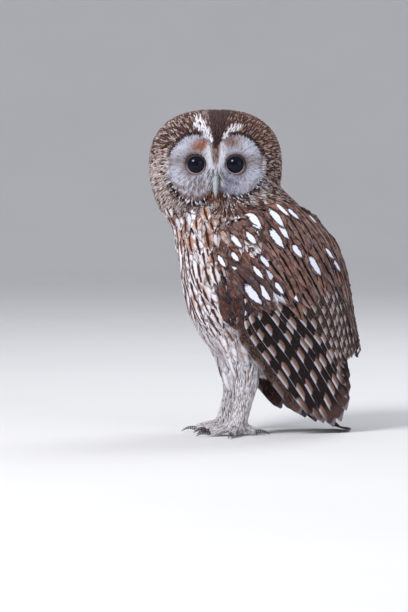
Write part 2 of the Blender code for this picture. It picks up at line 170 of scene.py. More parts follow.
def mottle(points, size, seed):
    """Even random numbers from 0 to 1 that change smoothly over patches about size metres wide."""
    chance = np.random.default_rng(seed)
    waves = unit(chance.normal(0, 1, (14, 3))) * math.pi / size
    total = np.sin(points @ waves.T + chance.uniform(0, math.tau, 14)).sum(axis=1) / math.sqrt(7)
    return 0.5 + 0.5 * np.tanh(0.8 * total)


def blend(first, second, share):
    """Rows of colour, from first to second by each row's share."""
    share = np.asarray(share)[..., None]
    return first * (1 - share) + second * share


print("darkest brown:", UMBER.round(3), "white:", WHITE.round(3))


# %% [markdown]
# ## Node helpers
#
# Shader groups are built from many small sums, so a short helper adds a Math node and joins
# its inputs, whether they are numbers, colours or other nodes' outputs.

# %% Shader helpers


def put(tree, socket, value):
    """Sets a socket to a number or a colour, or links another node's output to it."""
    if isinstance(value, (int, float)):
        socket.default_value = value
    elif isinstance(value, np.ndarray):
        socket.default_value = (*value, 1.0)
    else:
        tree.links.new(value, socket)


def node_with(tree, kind, values):
    """A new node of a kind, with values for its inputs, told by their names or numbers."""
    node = tree.nodes.new(kind)
    for key, value in values.items():
        put(tree, node.inputs[key], value)
    return node


def calc(tree, operation, *inputs):
    node = node_with(tree, "ShaderNodeMath", dict(enumerate(inputs)))
    node.operation = operation
    return node.outputs[0]


def maths(tree):
    """Short names for sums in one tree: plus, minus and times."""
    return [partial(calc, tree, operation) for operation in ("ADD", "SUBTRACT", "MULTIPLY")]


def step_up(tree, value, low, high):
    """A smooth step from 0 at low to 1 at high."""
    node = node_with(tree, "ShaderNodeMapRange", {"Value": value, "From Min": low, "From Max": high})
    node.interpolation_type = "SMOOTHSTEP"
    return node.outputs["Result"]


def step_down(tree, value, low, high):
    return calc(tree, "SUBTRACT", 1.0, step_up(tree, value, low, high))


def mix_colour(tree, share, first, second):
    node = tree.nodes.new("ShaderNodeMix")
    node.data_type = "RGBA"
    for socket, value in ((node.inputs[0], share), (node.inputs[6], first), (node.inputs[7], second)):
        put(tree, socket, value)
    return node.outputs[2]


def scaled(tree, colour, scale):
    node = tree.nodes.new("ShaderNodeVectorMath")
    node.operation = "SCALE"
    put(tree, node.inputs[0], colour)
    put(tree, node.inputs["Scale"], scale)
    return node.outputs[0]


def noise(tree, vector, scale, detail=2.0):
    values = {"Scale": scale, "Detail": detail, "Vector": vector}
    return node_with(tree, "ShaderNodeTexNoise", values).outputs["Fac"]


def split_xyz(tree, vector):
    return node_with(tree, "ShaderNodeSeparateXYZ", {0: vector}).outputs


def join_xyz(tree, *parts):
    return node_with(tree, "ShaderNodeCombineXYZ", dict(enumerate(parts))).outputs[0]


def attribute(tree, name, output):
    node = tree.nodes.new("ShaderNodeAttribute")
    node.attribute_name = name
    return node.outputs[output]


def object_place(tree):
    return tree.nodes.new("ShaderNodeTexCoord").outputs["Object"]


# %% Materials


def principled(name, roughness, slot=None, specular=0.12):
    material = bpy.data.materials.new(name)
    material.use_nodes = True
    shader = material.node_tree.nodes["Principled BSDF"]
    shader.inputs["Roughness"].default_value = roughness
    shader.inputs["Specular IOR Level"].default_value = specular
    if slot:
        material["slot"] = slot
    return material, material.node_tree, shader


def bumped(tree, shader, height, strength, distance):
    rise = node_with(tree, "ShaderNodeBump", {"Strength": strength, "Distance": distance, "Height": height})
    tree.links.new(rise.outputs["Normal"], shader.inputs["Normal"])


# %% [markdown]
# ## The marks on one feather
#
# A contour feather has a ground colour, a dark streak along its shaft, faint bars across its
# vane, and on some a pale spot on the outer web. One group draws them all from two sets of
# numbers that each feather carries: `vane` holds the place across the vane, the place along
# it and a number of its own, and `marks` holds how strong the streak, the bars and the spot
# are. The group also gives the fine slant of the barbs as a height for bump.

# %% Feather mark group


def marks_group(name, colours, numbers):
    """A group with inputs for a feather's own numbers, some colours and some plain numbers."""
    group = bpy.data.node_groups.new(name, "ShaderNodeTree")
    kinds = {"Vane": "Vector", "Marks": "Vector", "Ground": "Color"}
    kinds.update(dict.fromkeys(colours, "Color"))
    kinds.update(dict.fromkeys(numbers, "Float"))
    for label, kind in kinds.items():
        group.interface.new_socket(label, in_out="INPUT", socket_type=f"NodeSocket{kind}")
    group.interface.new_socket("Colour", in_out="OUTPUT", socket_type="NodeSocketColor")
    group.interface.new_socket("Height", in_out="OUTPUT", socket_type="NodeSocketFloat")
    given = group.nodes.new("NodeGroupInput").outputs
    return group, given, split_xyz(group, given["Vane"]), split_xyz(group, given["Marks"])


def fill_feather_marks():
    """Draws from the back to the front: ground, fringe, bars, blotches, streak, then the spot."""
    tree, given, (across, along, own), (streak_share, bar_share, spot_share) = marks_group(
        "feather marks", ("Dark", "Halo", "Pale"), ("Bar Count", "Streak Width", "Fringe")
    )
    plus, minus, times = maths(tree)
    off_shaft = calc(tree, "ABSOLUTE", across)
    place = join_xyz(tree, times(across, 1.6), times(along, 5.0), times(own, 91.0))
    wobble = minus(noise(tree, place, 1.3), 0.5)

    edge = plus(off_shaft, times(wobble, 0.45))
    width = given["Streak Width"]
    streak = times(step_down(tree, edge, width, plus(width, 0.12)), streak_share)
    halo = times(times(step_down(tree, edge, width, plus(width, 0.32)), streak_share), 0.6)
    blotch = step_up(tree, noise(tree, place, 3.4, 5.0), 0.50, 0.66)
    blotch = times(times(blotch, bar_share), 0.75)

    wave = plus(times(along, given["Bar Count"]), times(wobble, 0.9))
    wave = minus(wave, times(off_shaft, 0.35))
    wave = calc(tree, "SINE", times(wave, math.tau))
    bars = times(step_up(tree, wave, 0.0, 0.55), bar_share)

    fringe = step_up(tree, plus(off_shaft, times(wobble, 0.7)), 0.45, 0.95)
    fringe = calc(tree, "MAXIMUM", fringe, step_up(tree, plus(along, wobble), 0.86, 0.98))
    colour = mix_colour(tree, times(fringe, given["Fringe"]), given["Ground"], given["Pale"])
    colour = mix_colour(tree, halo, colour, given["Halo"])
    colour = mix_colour(tree, bars, colour, given["Halo"])
    colour = mix_colour(tree, blotch, colour, given["Dark"])
    darkest = calc(tree, "MAXIMUM", streak, times(bars, 0.6))
    colour = mix_colour(tree, darkest, colour, given["Dark"])

    spot_across = calc(tree, "DIVIDE", minus(across, 0.18), 0.44)
    spot_along = calc(tree, "DIVIDE", minus(along, 0.70), 0.31)
    spot_size = plus(times(spot_across, spot_across), times(spot_along, spot_along))
    ragged = minus(noise(tree, place, 6.0, 3.0), 0.5)
    away = plus(spot_size, plus(times(wobble, 1.3), times(ragged, 1.1)))
    spot = times(step_down(tree, away, 0.62, 1.12), spot_share)
    ring = times(times(step_down(tree, away, 1.3, 2.1), spot_share), 0.75)
    colour = mix_colour(tree, ring, colour, given["Dark"])
    colour = mix_colour(tree, spot, colour, given["Pale"])

    barbs = calc(tree, "SINE", times(minus(times(along, 26.0), times(off_shaft, 5.0)), math.tau))
    grain = noise(tree, place, 9.0, 3.0)
    shade = plus(plus(times(barbs, 0.05), times(grain, 0.5)), 0.75)
    height = plus(barbs, times(grain, 2.0))
    node_with(tree, "NodeGroupOutput", {"Colour": scaled(tree, colour, shade), "Height": height})
    return tree


FEATHER_MARKS = fill_feather_marks()
print("feather mark group:", len(FEATHER_MARKS.nodes), "nodes")

# %% Feather material
BARB_HEIGHT = 0.0002


def marked_material(name, group, roughness, slot, bump, **values):
    """A material that a group of marks paints and bumps; values are for the group's inputs."""
    material, tree, shader = principled(name, roughness, slot)
    marks = tree.nodes.new("ShaderNodeGroup")
    marks.node_tree = group
    own = {"Vane": ("vane", "Vector"), "Marks": ("marks", "Vector"), "Ground": ("ground", "Color")}
    for label, source in own.items():
        tree.links.new(attribute(tree, *source), marks.inputs[label])
    for label, value in values.items():
        put(tree, marks.inputs[label.replace("_", " ").title()], value)
    tree.links.new(marks.outputs["Colour"], shader.inputs["Base Color"])
    bumped(tree, shader, marks.outputs["Height"], bump, BARB_HEIGHT)
    return material


def feather_material(name, slot, bump=0.25, **values):
    return marked_material(name, FEATHER_MARKS, 0.82, slot, bump, **values)


# %% [markdown]
# ## The guide and the skin
#
# The solids reach out to the feather tips. Grown by a hair and remeshed together, they make
# one closed guide surface that feathers are combed over. The skin is the same surface sunk
# by the depth of the coat, so the head, neck, trunk, wings and legs are one piece with no
# seam between them.

# %% Guide surface
LIMB_PARTS = ("wing", "thigh", "shank", "foot")
FLESH = ["head", "neck", "trunk"] + [f"{part}_{word}" for part in LIMB_PARTS for word, side in SIDES]
GUIDE_VOXEL = 0.0021
GUIDE_GROWTH = 0.0006


def finished_mesh(bm, name):
    mesh = bpy.data.meshes.new(name)
    bm.to_mesh(mesh)
    bm.free()
    return mesh


def joined_solids(names):
    bm = bmesh.new()
    for name in names:
        bm.from_mesh(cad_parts[name].data)
    return finished_mesh(bm, "joined")


def linked(name, data):
    """A new object for a mesh, a light or a camera, in the scene."""
    obj = bpy.data.objects.new(name, data)
    bpy.context.scene.collection.objects.link(obj)
    return obj


def applied(obj, name):
    """The mesh of an object with its modifiers applied. The object itself is removed."""
    graph = bpy.context.evaluated_depsgraph_get()
    mesh = bpy.data.meshes.new_from_object(obj.evaluated_get(graph), depsgraph=graph)
    mesh.name = name
    bpy.data.objects.remove(obj, do_unlink=True)
    return mesh


def one_surface(mesh, growth, voxel, smoothing):
    """One closed surface round the solids of a mesh, grown outwards and smoothed."""
    obj = linked("growing", mesh)
    grow = obj.modifiers.new("Grow", "DISPLACE")
    grow.strength = growth
    grow.mid_level = 0.0
    remesh = obj.modifiers.new("One surface", "REMESH")
    remesh.mode = "VOXEL"
    remesh.voxel_size = voxel
    smooth = obj.modifiers.new("Smooth", "SMOOTH")
    smooth.iterations = smoothing
    return applied(obj, "guide")


guide = one_surface(joined_solids(FLESH), GUIDE_GROWTH, GUIDE_VOXEL, 4)


def vertex_array(mesh):
    flat = np.empty(len(mesh.vertices) * 3)
    mesh.vertices.foreach_get("co", flat)
    return flat.reshape(-1, 3)


def normal_array(mesh):
    flat = np.empty(len(mesh.vertices) * 3, np.float32)
    mesh.vertex_normals.foreach_get("vector", flat)
    return flat.reshape(-1, 3).astype(float)


def triangle_array(mesh):
    mesh.calc_loop_triangles()
    flat = np.empty(len(mesh.loop_triangles) * 3, np.int32)
    mesh.loop_triangles.foreach_get("vertices", flat)
    return flat.reshape(-1, 3)


guide_points = vertex_array(guide)
guide_triangles = triangle_array(guide)
guide_normals = normal_array(guide)
guide_tree = BVHTree.FromPolygons(guide_points.tolist(), guide_triangles.tolist())
triangle_normals = guide_normals[guide_triangles].mean(axis=1)
triangle_normals /= np.linalg.norm(triangle_normals, axis=1, keepdims=True)
print("guide:", len(guide_points), "points")


def on_guide(points):
    """The nearest place on the guide, and its normal, for each point."""
    places = np.empty_like(points)
    faces = np.empty(len(points), int)
    for i, point in enumerate(points):
        places[i], _, faces[i], _ = guide_tree.find_nearest(point)
    return places, triangle_normals[faces]


# %% Skin
COAT_DEPTH = {"body": 0.0042, "wing": 0.0022, "thigh": 0.0034, "shank": 0.0024, "foot": 0.0013}
KINDS = {"body": FLESH[:3]}
KINDS.update({part: [f"{part}_{word}" for word, side in SIDES] for part in LIMB_PARTS})


def solid_tree(names):
    mesh = joined_solids(names)
    tree = BVHTree.FromPolygons(vertex_array(mesh).tolist(), triangle_array(mesh).tolist())
    bpy.data.meshes.remove(mesh)
    return tree


KIND_TREES = {kind: solid_tree(names) for kind, names in KINDS.items()}


def nearest_kind(points):
    """The kind of solid, as an index into KINDS, that each point is nearest to."""
    distances = np.empty((len(points), len(KIND_TREES)))
    for column, tree in enumerate(KIND_TREES.values()):
        for row, point in enumerate(points):
            found = tree.find_nearest(point, 0.03)
            distances[row, column] = found[3] if found[0] is not None else 1.0
    return distances.argmin(axis=1)


BODY_KIND, WING_KIND, THIGH_KIND, SHANK_KIND, FOOT_KIND = range(len(KINDS))
guide_kind = nearest_kind(guide_points)
depth = np.array([COAT_DEPTH[name] for name in KINDS])[guide_kind]


def averaged_over_edges(mesh, values, rounds):
    """Values at the points of a mesh, evened out between neighbours."""
    pairs = np.empty(len(mesh.edges) * 2, np.int32)
    mesh.edges.foreach_get("vertices", pairs)
    pairs = pairs.reshape(-1, 2)
    count = np.bincount(pairs.ravel(), minlength=len(values)) + 1
    for _ in range(rounds):
        total = values + np.bincount(pairs[:, 0], values[pairs[:, 1]], len(values))
        total += np.bincount(pairs[:, 1], values[pairs[:, 0]], len(values))
        values = total / count
    return values


depth = averaged_over_edges(guide, depth, 3) + GUIDE_GROWTH
skin_points = guide_points - guide_normals * depth[:, None]
skin_mesh = guide.copy()
skin_mesh.name = "skin"
skin_mesh.vertices.foreach_set("co", skin_points.ravel())
skin_mesh.update()
skin = linked("skin", skin_mesh)
even = skin.modifiers.new("Even out", "SMOOTH")
even.iterations = 2
print("skin:", len(skin_mesh.polygons), "faces")

# %% [markdown]
# ## Combing feathers
#
# Feathers are planted at roots spread over the guide and grow along it, a step at a time,
# in the direction that the plumage lies there. A root sits deep in the coat and a tip lies at
# its surface, so each feather slips under the tips of those before it. Hair curves or copies
# of one feather would be quicker to set up, but solid vanes that bend with the body show
# their own edges and shadows, and they stay what they are when the model is exported.

# %% Where the guide is seen
guide_corners = guide_points[guide_triangles]
triangle_centres = guide_corners.mean(axis=1)
triangle_areas = np.linalg.norm(
    np.cross(guide_corners[:, 1] - guide_corners[:, 0], guide_corners[:, 2] - guide_corners[:, 0]), axis=1
) / 2
triangle_kind = guide_kind[guide_triangles[:, 0]]
COVERED_WITHIN = 0.016


def is_covered(point, normal):
    hit = guide_tree.ray_cast(Vector(point + normal * 0.0006), Vector(normal), COVERED_WITHIN)
    return hit[0] is not None


covered = np.array([is_covered(p, n) for p, n in zip(triangle_centres, triangle_normals)])
print("covered share of the guide:", round(float(triangle_areas[covered].sum() / triangle_areas.sum()), 3))

# %% Roots
NEIGHBOUR_CELLS = [(x, y, z) for x in (-1, 0, 1) for y in (-1, 0, 1) for z in (-1, 0, 1)]


def thinned(points, spacing):
    """The indices of points left when none may be nearer than spacing to one before it."""
    grid, kept = {}, []
    cells = np.floor(points / spacing).astype(int).tolist()
    rows = points.tolist()
    limit = spacing * spacing
    for i, (x, y, z) in enumerate(cells):
        px, py, pz = rows[i]
        near = (
            (ox - px) ** 2 + (oy - py) ** 2 + (oz - pz) ** 2 < limit
            for dx, dy, dz in NEIGHBOUR_CELLS
            for ox, oy, oz in grid.get((x + dx, y + dy, z + dz), ())
        )
        if not any(near):
            grid.setdefault((x, y, z), []).append((px, py, pz))
            kept.append(i)
    return kept


def spread_roots(share, spacing, seed):
    """Roots over the seen guide, about spacing apart where share is 1 and sparser where it is less.

    share(points, kinds) gives a number from 0 to 1 for each point."""
    chance = np.random.default_rng(seed)
    wanted = share(triangle_centres, triangle_kind) * ~covered
    weights = triangle_areas * wanted
    tries = int(2.4 * weights.sum() / spacing ** 2)
    picks = chance.choice(len(weights), tries, p=weights / weights.sum())
    a, b = chance.random((2, tries))
    over = a + b > 1
    a[over], b[over] = 1 - a[over], 1 - b[over]
    first, second, third = (guide_corners[picks, corner] for corner in range(3))
    points = first + (second - first) * a[:, None] + (third - first) * b[:, None]
    kept = thinned(points, spacing)
    return points[kept]


# %% Combing


def comb(roots, lie, lengths, stations):
    """Lines along the guide from each root, in the direction given by lie(points, normals)."""
    lines, ups = [], []
    points = roots
    for _ in range(stations):
        places, normals = on_guide(points)
        direction = lie(places, normals)
        direction = unit(direction - normals * (direction * normals).sum(axis=1, keepdims=True))
        lines.append(places)
        ups.append(normals)
        points = places + direction * (lengths / (stations - 1))[:, None]
    return np.stack(lines, axis=1), np.stack(ups, axis=1)


def layered(lines, ups, root_depth, tip_rise):
    """Sinks the roots into the coat and lifts the tips, by metres for each feather."""
    t = np.linspace(0, 1, lines.shape[1])
    height = tip_rise[:, None] * t ** 2 - root_depth[:, None] * (1 - t) ** 1.3
    return lines + ups * height[..., None]


# %% [markdown]
# ## One vane
#
# A body feather is a thin vane, arched across its shaft. Here it is a closed, flattened tube:
# its underside is flat, its top is arched, and the tip is a little ragged.

# %% Vanes


def vanes(lines, ups, half_widths, columns, camber, fray, chance):
    """Closed, arched vanes along lines: an array of feather, station, column and coordinate."""
    along = unit(np.gradient(lines, axis=1))
    side = unit(np.cross(along, ups))
    rise = np.cross(side, along)
    s = np.linspace(-1, 1, columns)
    wide = half_widths[:, :, None, None]
    arch = camber * wide * (1 - s[None, None, :, None] ** 2)
    points = lines[:, :, None] + side[:, :, None] * wide * s[None, None, :, None] + rise[:, :, None] * arch
    t = np.linspace(0, 1, lines.shape[1])
    tip = (np.clip((t - 0.55) / 0.45, 0, 1) ** 2)[None, :, None, None]
    ragged = chance.uniform(-1, 1, (len(lines), 1, columns, 1)) * fray[:, None, None, None]
    return points + along[:, :, None] * ragged * tip


def outline(stations, kind):
    """Half widths along a fine tuft or a contour feather, as shares of its widest."""
    t = np.linspace(0, 1, stations)
    if kind == "tuft":
        return np.maximum(np.sin(np.pi * t ** 0.75) ** 0.8, 0.05) * (1 - 0.3 * t) + 0.12 * (1 - t)
    rounded = 1 - ((t - 0.45) / 0.56) ** 2 * (t > 0.45)
    return np.clip(0.35 + 1.6 * t, 0, 1) * np.sqrt(np.clip(rounded, 0.01, 1))


# %% [markdown]
# ## Pieces of coat
#
# Thousands of separate feathers would be slow to handle, so those of one kind are joined
# into a piece. Arrays of points are written into the mesh at once, which is much faster than
# adding one face after another. A piece that grows too large is cut into several.

# %% Coat pieces
MOST_TRIANGLES = 185000
coat_pieces = []


def coat_object(name, points, vane, marks, ground, unwrap, patch, material):
    """One piece of coat. Each feather is a tube of quads round its stations, with two end caps."""
    count, stations, columns = points.shape[:3]
    index = np.arange(count * stations * columns).reshape(count, stations, columns)
    following = np.roll(index, -1, axis=2)
    quads = np.stack(
        (index[:, :-1], following[:, :-1], following[:, 1:], index[:, 1:]), axis=-1
    ).reshape(-1, 4)
    caps = np.concatenate((index[:, 0, ::-1], index[:, -1]))
    loops = np.concatenate((quads.ravel(), caps.ravel())).astype(np.int32)
    sizes = np.concatenate((np.full(len(quads), 4), np.full(len(caps), columns))).astype(np.int32)
    starts = np.concatenate(([0], np.cumsum(sizes)[:-1])).astype(np.int32)
    mesh = bpy.data.meshes.new(name)
    mesh.vertices.add(index.size)
    mesh.vertices.foreach_set("co", points.astype(np.float32).ravel())
    mesh.loops.add(len(loops))
    mesh.loops.foreach_set("vertex_index", loops)
    mesh.polygons.add(len(sizes))
    mesh.polygons.foreach_set("loop_start", starts)
    mesh.polygons.foreach_set("loop_total", sizes)
    for label, values in (("vane", vane), ("marks", marks)):
        layer = mesh.attributes.new(label, "FLOAT_VECTOR", "POINT")
        layer.data.foreach_set("vector", values.astype(np.float32).ravel())
    layer = mesh.attributes.new("ground", "FLOAT_COLOR", "POINT")
    rgba = np.concatenate((ground, np.ones(ground.shape[:-1] + (1,))), axis=-1)
    layer.data.foreach_set("color", rgba.astype(np.float32).ravel())
    spot = np.stack((vane[..., 0] / 2, vane[..., 1] - 0.5), axis=-1) * patch
    uv = (unwrap[:, None, None, :] + spot).reshape(-1, 2)
    mesh.uv_layers.new(name="OFBake").data.foreach_set("uv", uv[loops].astype(np.float32).ravel())
    mesh.update()
    mesh.shade_smooth()
    mesh.materials.append(material)
    obj = linked(name, mesh)
    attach(obj, "root")
    coat_pieces.append(obj)


def plant(name, points, own, marks, ground, unwrap, material, patch=0.003, across=None, mirrored=False):
    """Makes coat pieces from vanes, as many as keep each under the most triangles.

    marks and ground hold a row for each feather, or one for each station of each feather, and
    across gives the place across the vane of each column where that isn't even, and mirrored
    turns it round on the bird's right."""
    count, stations, columns = points.shape[:3]
    across = np.linspace(-1, 1, columns) if across is None else across
    s = np.broadcast_to(across, (count, stations, columns))
    if mirrored:
        s = s * np.sign(points[:, :1, :1, 0])
    t = np.broadcast_to(np.linspace(0, 1, stations)[:, None], (count, stations, columns))
    seeds = np.broadcast_to(own[:, None, None], (count, stations, columns))
    vane = np.stack((s, t, seeds), axis=-1)

    def everywhere(rows):
        rows = rows[:, None] if rows.ndim == 2 else rows
        return np.broadcast_to(rows[:, :, None], (count, stations, columns, 3))

    marks, ground = everywhere(marks), everywhere(ground)
    each = 2 * (stations - 1) * columns + 2 * (columns - 2)
    share = max(1, MOST_TRIANGLES // each)
    pieces = math.ceil(count / share)
    for piece in range(pieces):
        part = slice(piece * count // pieces, (piece + 1) * count // pieces)
        label = name if pieces == 1 else f"{name}_{piece + 1}"
        coat_object(
            label, points[part], vane[part], marks[part], ground[part], unwrap[part], patch, material
        )
    print(f"{name}: {count} feathers, {count * each} triangles, {pieces} piece(s)")


# %% [markdown]
# ## Unwraps
#
# Each feather's colours are kept in a small patch at its root's place on an unwrap of the
# skin's own shape: the head as an equal-area sphere, the body and the legs as tubes.

# %% Unwraps


def inside_square(u, v):
    return np.stack((0.01 + 0.98 * np.clip(u, 0, 1), 0.01 + 0.98 * np.clip(v, 0, 1)), axis=-1)


def head_unwrap(points):
    across, ahead, up = in_head(points)
    turn = np.arctan2(across, ahead) / math.tau + 0.5
    rise = up / np.sqrt(across ** 2 + ahead ** 2 + up ** 2)
    return inside_square(turn, rise / 2 + 0.5)


def body_unwrap(points):
    place, reach, side = on_spine(points)
    return inside_square(np.arctan2(side, reach) / math.tau + 0.5, (place + 0.15) / 1.35)


def leg_unwrap(points):
    left = points[:, 0] > 0
    centre = np.where(left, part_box("shank_left")[0][0] + 0.0106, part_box("shank_right")[1][0] - 0.0106)
    turn = np.arctan2(points[:, 0] - centre, -(points[:, 1] + 0.022)) / math.tau + 0.5
    return inside_square(np.where(left, turn, turn + 1) / 2, points[:, 2] / 0.14)


# %% [markdown]
# ## The facial disc
#
# Each half of the disc is a shallow dish of fine, hair-like feathers that fan out from the
# eye. Between the eyes they stand up in two pale tufts that part over the bill, and below it
# they fall to each side as a beard. Two ellipses give the disc's outline, and the lie of the
# feathers turns from "away from the eye" to "up" or "down" near the middle of the face.

# %% Disc shape
LOBE_MIDDLE = np.array((22.0, -6.5))  # across and up, in millimetres, of each half of the disc
LOBE_RADII = np.array((28.5, 35.0))
LOBE_DROP = {"left": 30.0, "right": 36.5}  # how far each half reaches down: the left meets the shoulder
EYE_UP = EYE_HEIGHT / MM
EYE_ACROSS = EYE_SPREAD / MM
LID_RADIUS = 9.9


def lobe_distance(across, up):
    """1 on the rim of the disc, less inside it."""
    off_across = (np.abs(across) - LOBE_MIDDLE[0]) / LOBE_RADII[0]
    drop = np.where(across > 0, LOBE_DROP["left"], LOBE_DROP["right"])
    drop = drop + (33.0 - drop) * (1 - ramp(np.abs(across), 2, 14))
    off_up = (up - LOBE_MIDDLE[1]) / np.where(up > LOBE_MIDDLE[1], LOBE_RADII[1], drop)
    return np.hypot(off_across, off_up)


def eye_distance(across, up):
    return np.hypot(np.abs(across) - EYE_ACROSS, up - EYE_UP)


def head_direction(across, ahead, up):
    """World directions from their three parts in the head's axes."""
    parts = np.stack(np.broadcast_arrays(across, ahead, up), axis=-1)
    return parts @ np.stack((ACROSS, AHEAD, UP))


def disc_lie(points, normals):
    across, ahead, up = in_head(points)
    outwards = np.sign(across) * (np.abs(across) - EYE_ACROSS)
    upwards = up - EYE_UP
    size = np.maximum(np.hypot(outwards, upwards), 1.0)
    near_middle = 1 - ramp(np.abs(across), 4.0, 13.0)
    above_bill = ramp(up, -19.0, -11.0)
    middle_up = above_bill - (1 - above_bill) * 1.2
    middle_out = np.sign(across) * (0.30 + 0.35 * (1 - above_bill)) * ramp(np.abs(across), 0.0, 4.0)
    return head_direction(
        outwards / size * (1 - near_middle) + middle_out * near_middle,
        0.0,
        upwards / size * (1 - near_middle) + middle_up * near_middle,
    )


def disc_share(points, kinds):
    across, ahead, up = in_head(points)
    inside = 1 - ramp(lobe_distance(across, up), 0.90, 0.93)
    clear_of_eye = ramp(eye_distance(across, up), LID_RADIUS - 0.5, LID_RADIUS + 0.3)
    under_bill = (np.abs(across) < 2.6) & (up < -15.0) & (up > -33.0)
    return inside * clear_of_eye * (ahead > 5) * ~under_bill


print("disc:", LOBE_RADII * 2, "mm wide and high on each side, eyes", round(2 * EYE_ACROSS, 1), "mm apart")

# %% Disc colours


def disc_ground(points, chance):
    across, ahead, up = in_head(points)
    r = eye_distance(across, up)
    outer_side = ramp(np.abs(across) - EYE_ACROSS, -2.0, 9.0)
    count = len(across)
    colour = DISC_GREY * 1.12
    wide = 0.30 * np.minimum(np.abs(up + 8), 18) - 0.45 * np.maximum(up - 12, 0)
    cross = (1 - ramp(np.abs(across) - wide, 4.0, 9.0)) * ramp(up, -27, -18)
    fan = np.exp(-(((up - 4.0 + 0.25 * (np.abs(across) - 30)) / 8.0) ** 2)) * ramp(np.abs(across), 26, 42)
    colour = blend(colour, GREY_BROWN, 0.65 * fan)
    inner_ring = 1 - ramp(r, 14.0, 22.0)
    colour = blend(colour, GREY_BROWN * 1.1, 0.45 * inner_ring * outer_side)
    smudge = np.exp(-(((r - 12.0) / 2.6) ** 2)) * (0.05 + 0.40 * outer_side)
    colour = blend(colour, RUFOUS * 0.45, smudge)
    arch = np.exp(-(((r - 13.0) / 2.2) ** 2)) * ramp(up - EYE_UP, 4, 9)
    colour = blend(colour, RUFOUS * 0.6, 0.5 * arch)
    patch_across = (np.abs(across) - 15.5) / 13.0
    patch = np.exp(-((patch_across ** 2 + ((up - 23.5 + 0.15 * np.abs(across - 16)) / 7.5) ** 2) ** 1.5))
    patch = patch * np.where(across < 0, 1.0, 0.8)
    colour = blend(colour, np.where(across[:, None] < 0, RUFOUS * 0.9, RUFOUS * 0.6), 0.95 * patch)
    low = ramp(-up, 10, 34) * (0.35 + 0.65 * ramp(-across, -6, 10))
    warm = blend(GREY_BROWN, RUFOUS, 0.7 * mottle(points, 3.5 * MM, 201))
    colour = blend(colour, warm, 0.85 * low * ramp(mottle(points, 3.0 * MM, 202), 0.1, 0.7))
    under_eye = np.exp(-(((np.abs(across) - 15.0) / 5.0) ** 2 + ((up + 23.5) / 3.0) ** 2))
    colour = blend(colour, BROWN * 0.6, 0.6 * under_eye)
    beard = (1 - ramp(np.abs(across), 7, 14)) * ramp(-up, 31, 38)
    colour = blend(colour, RUFOUS * 0.75, 0.85 * beard)
    colour = blend(colour, WHITE, 0.9 * cross)
    blaze = (1 - ramp(np.abs(across), 2.6, 4.8 + 0.20 * np.maximum(up, 0))) * ramp(up, -4, 3)
    blaze = blaze * (0.75 + 0.25 * ramp(mottle(points, 2.0 * MM, 203), 0.35, 0.60))
    colour = blend(colour, RUFOUS * 0.42, 0.95 * blaze)
    line = (1 - ramp(np.abs(across), 0.7, 1.7)) * (1 - ramp(up, -3, 3))
    colour = blend(colour, BROWN * 0.6, 0.7 * line * (chance.random(count) < 0.7))
    # Painted shade: the lower inner part of the disc's left half is darkened to a blue grey, as in shadow.
    painted_shade = ramp(across, 1, 6) * (1 - ramp(across, 20, 34)) * ramp(-up, -6, 14)
    colour = blend(colour, DISC_GREY * np.array((0.42, 0.46, 0.62)), 0.45 * painted_shade)
    outermost = ramp(lobe_distance(across, up), 0.86, 1.0)
    fleck = chance.random(count)
    colour = blend(colour, CROWN_BROWN, np.where(fleck < 0.06 + 0.20 * low + 0.22 * outermost, 0.65, 0.0))
    return colour * chance.uniform(0.84, 1.08, (count, 1))


# %% [markdown]
# ## Planting
#
# Every kind of plumage is planted in the same way and differs only in its numbers: how far
# apart the roots are, how long and wide the feathers are, how they lie, how far they stand
# off, and how they are painted. The disc's feathers are very fine and dense.

# %% Planting feathers
TUFT = feather_material(
    "fine feathers", "plumage_face", bump=0.15,
    dark=UMBER, halo=RUFOUS, pale=WHITE, bar_count=3.0, streak_width=0.2,
)


def no_marks(points, chance):
    return np.zeros((len(points), 3))


def evened(lines, times):
    """Lines with each inner point drawn towards its neighbours."""
    for _ in range(times):
        lines[:, 1:-1] = (lines[:, :-2] + lines[:, 1:-1] * 2 + lines[:, 2:]) / 4
    return lines


def feathers(
    name, roots, lie, length, width, colouring, unwrap, seed, marks=no_marks, material=TUFT, size_at=None,
    lift_at=None, shape="tuft", stations=4, columns=3, camber=0.4, deep=1.5, rise=(-0.2, 0.5), stray=0.10,
    fray=0.0, smooth=0, patch=0.003, mirrored=False,
):
    """Plants feathers at roots, with length, width, deep and rise in millimetres.

    colouring(tips, chance) and marks(tips, chance) paint them, and size_at(roots) scales them.
    deep is how far a root sits in the coat, and rise the lowest and highest lift of a tip, with
    lift_at(roots) on top. stray is how far tips turn aside at random, fray how ragged they are,
    and smooth how often the lines are evened out, so that they bridge steps in the guide."""
    chance = np.random.default_rng(seed)
    count = len(roots)
    size = chance.uniform(0.82, 1.18, count) * (size_at(roots) if size_at else 1.0)
    lengths = length * MM * size
    lines, ups = comb(roots, lie, lengths, stations)
    lines = evened(lines, smooth)
    lift = chance.uniform(*rise, count) * MM
    if lift_at:
        lift = lift + lift_at(roots) * MM
    lines = layered(lines, ups, deep * MM * np.ones(count), lift)
    turned = chance.normal(0, stray, count)
    drift = np.linspace(0, 1, stations) ** 1.5
    along = unit(np.gradient(lines, axis=1))
    lines = lines + np.cross(along, ups) * (turned * lengths)[:, None, None] * drift[None, :, None]
    half = (width * MM / 2 * np.sqrt(size))[:, None] * outline(stations, shape)[None]
    points = vanes(lines, ups, half, columns, camber, fray * lengths * np.ones(count), chance)
    tips = lines[:, -1]
    ground = colouring(tips, chance)
    painted = marks(tips, chance)
    plant(
        name, points, chance.random(count), painted, ground, unwrap(roots), material, patch,
        mirrored=mirrored,
    )


# %% Disc


def disc_size(points):
    across, ahead, up = in_head(points)
    rim = lobe_distance(across, up)
    return 0.55 + 0.45 * ramp(eye_distance(across, up), 11, 19) - 0.45 * ramp(rim, 0.60, 0.92)


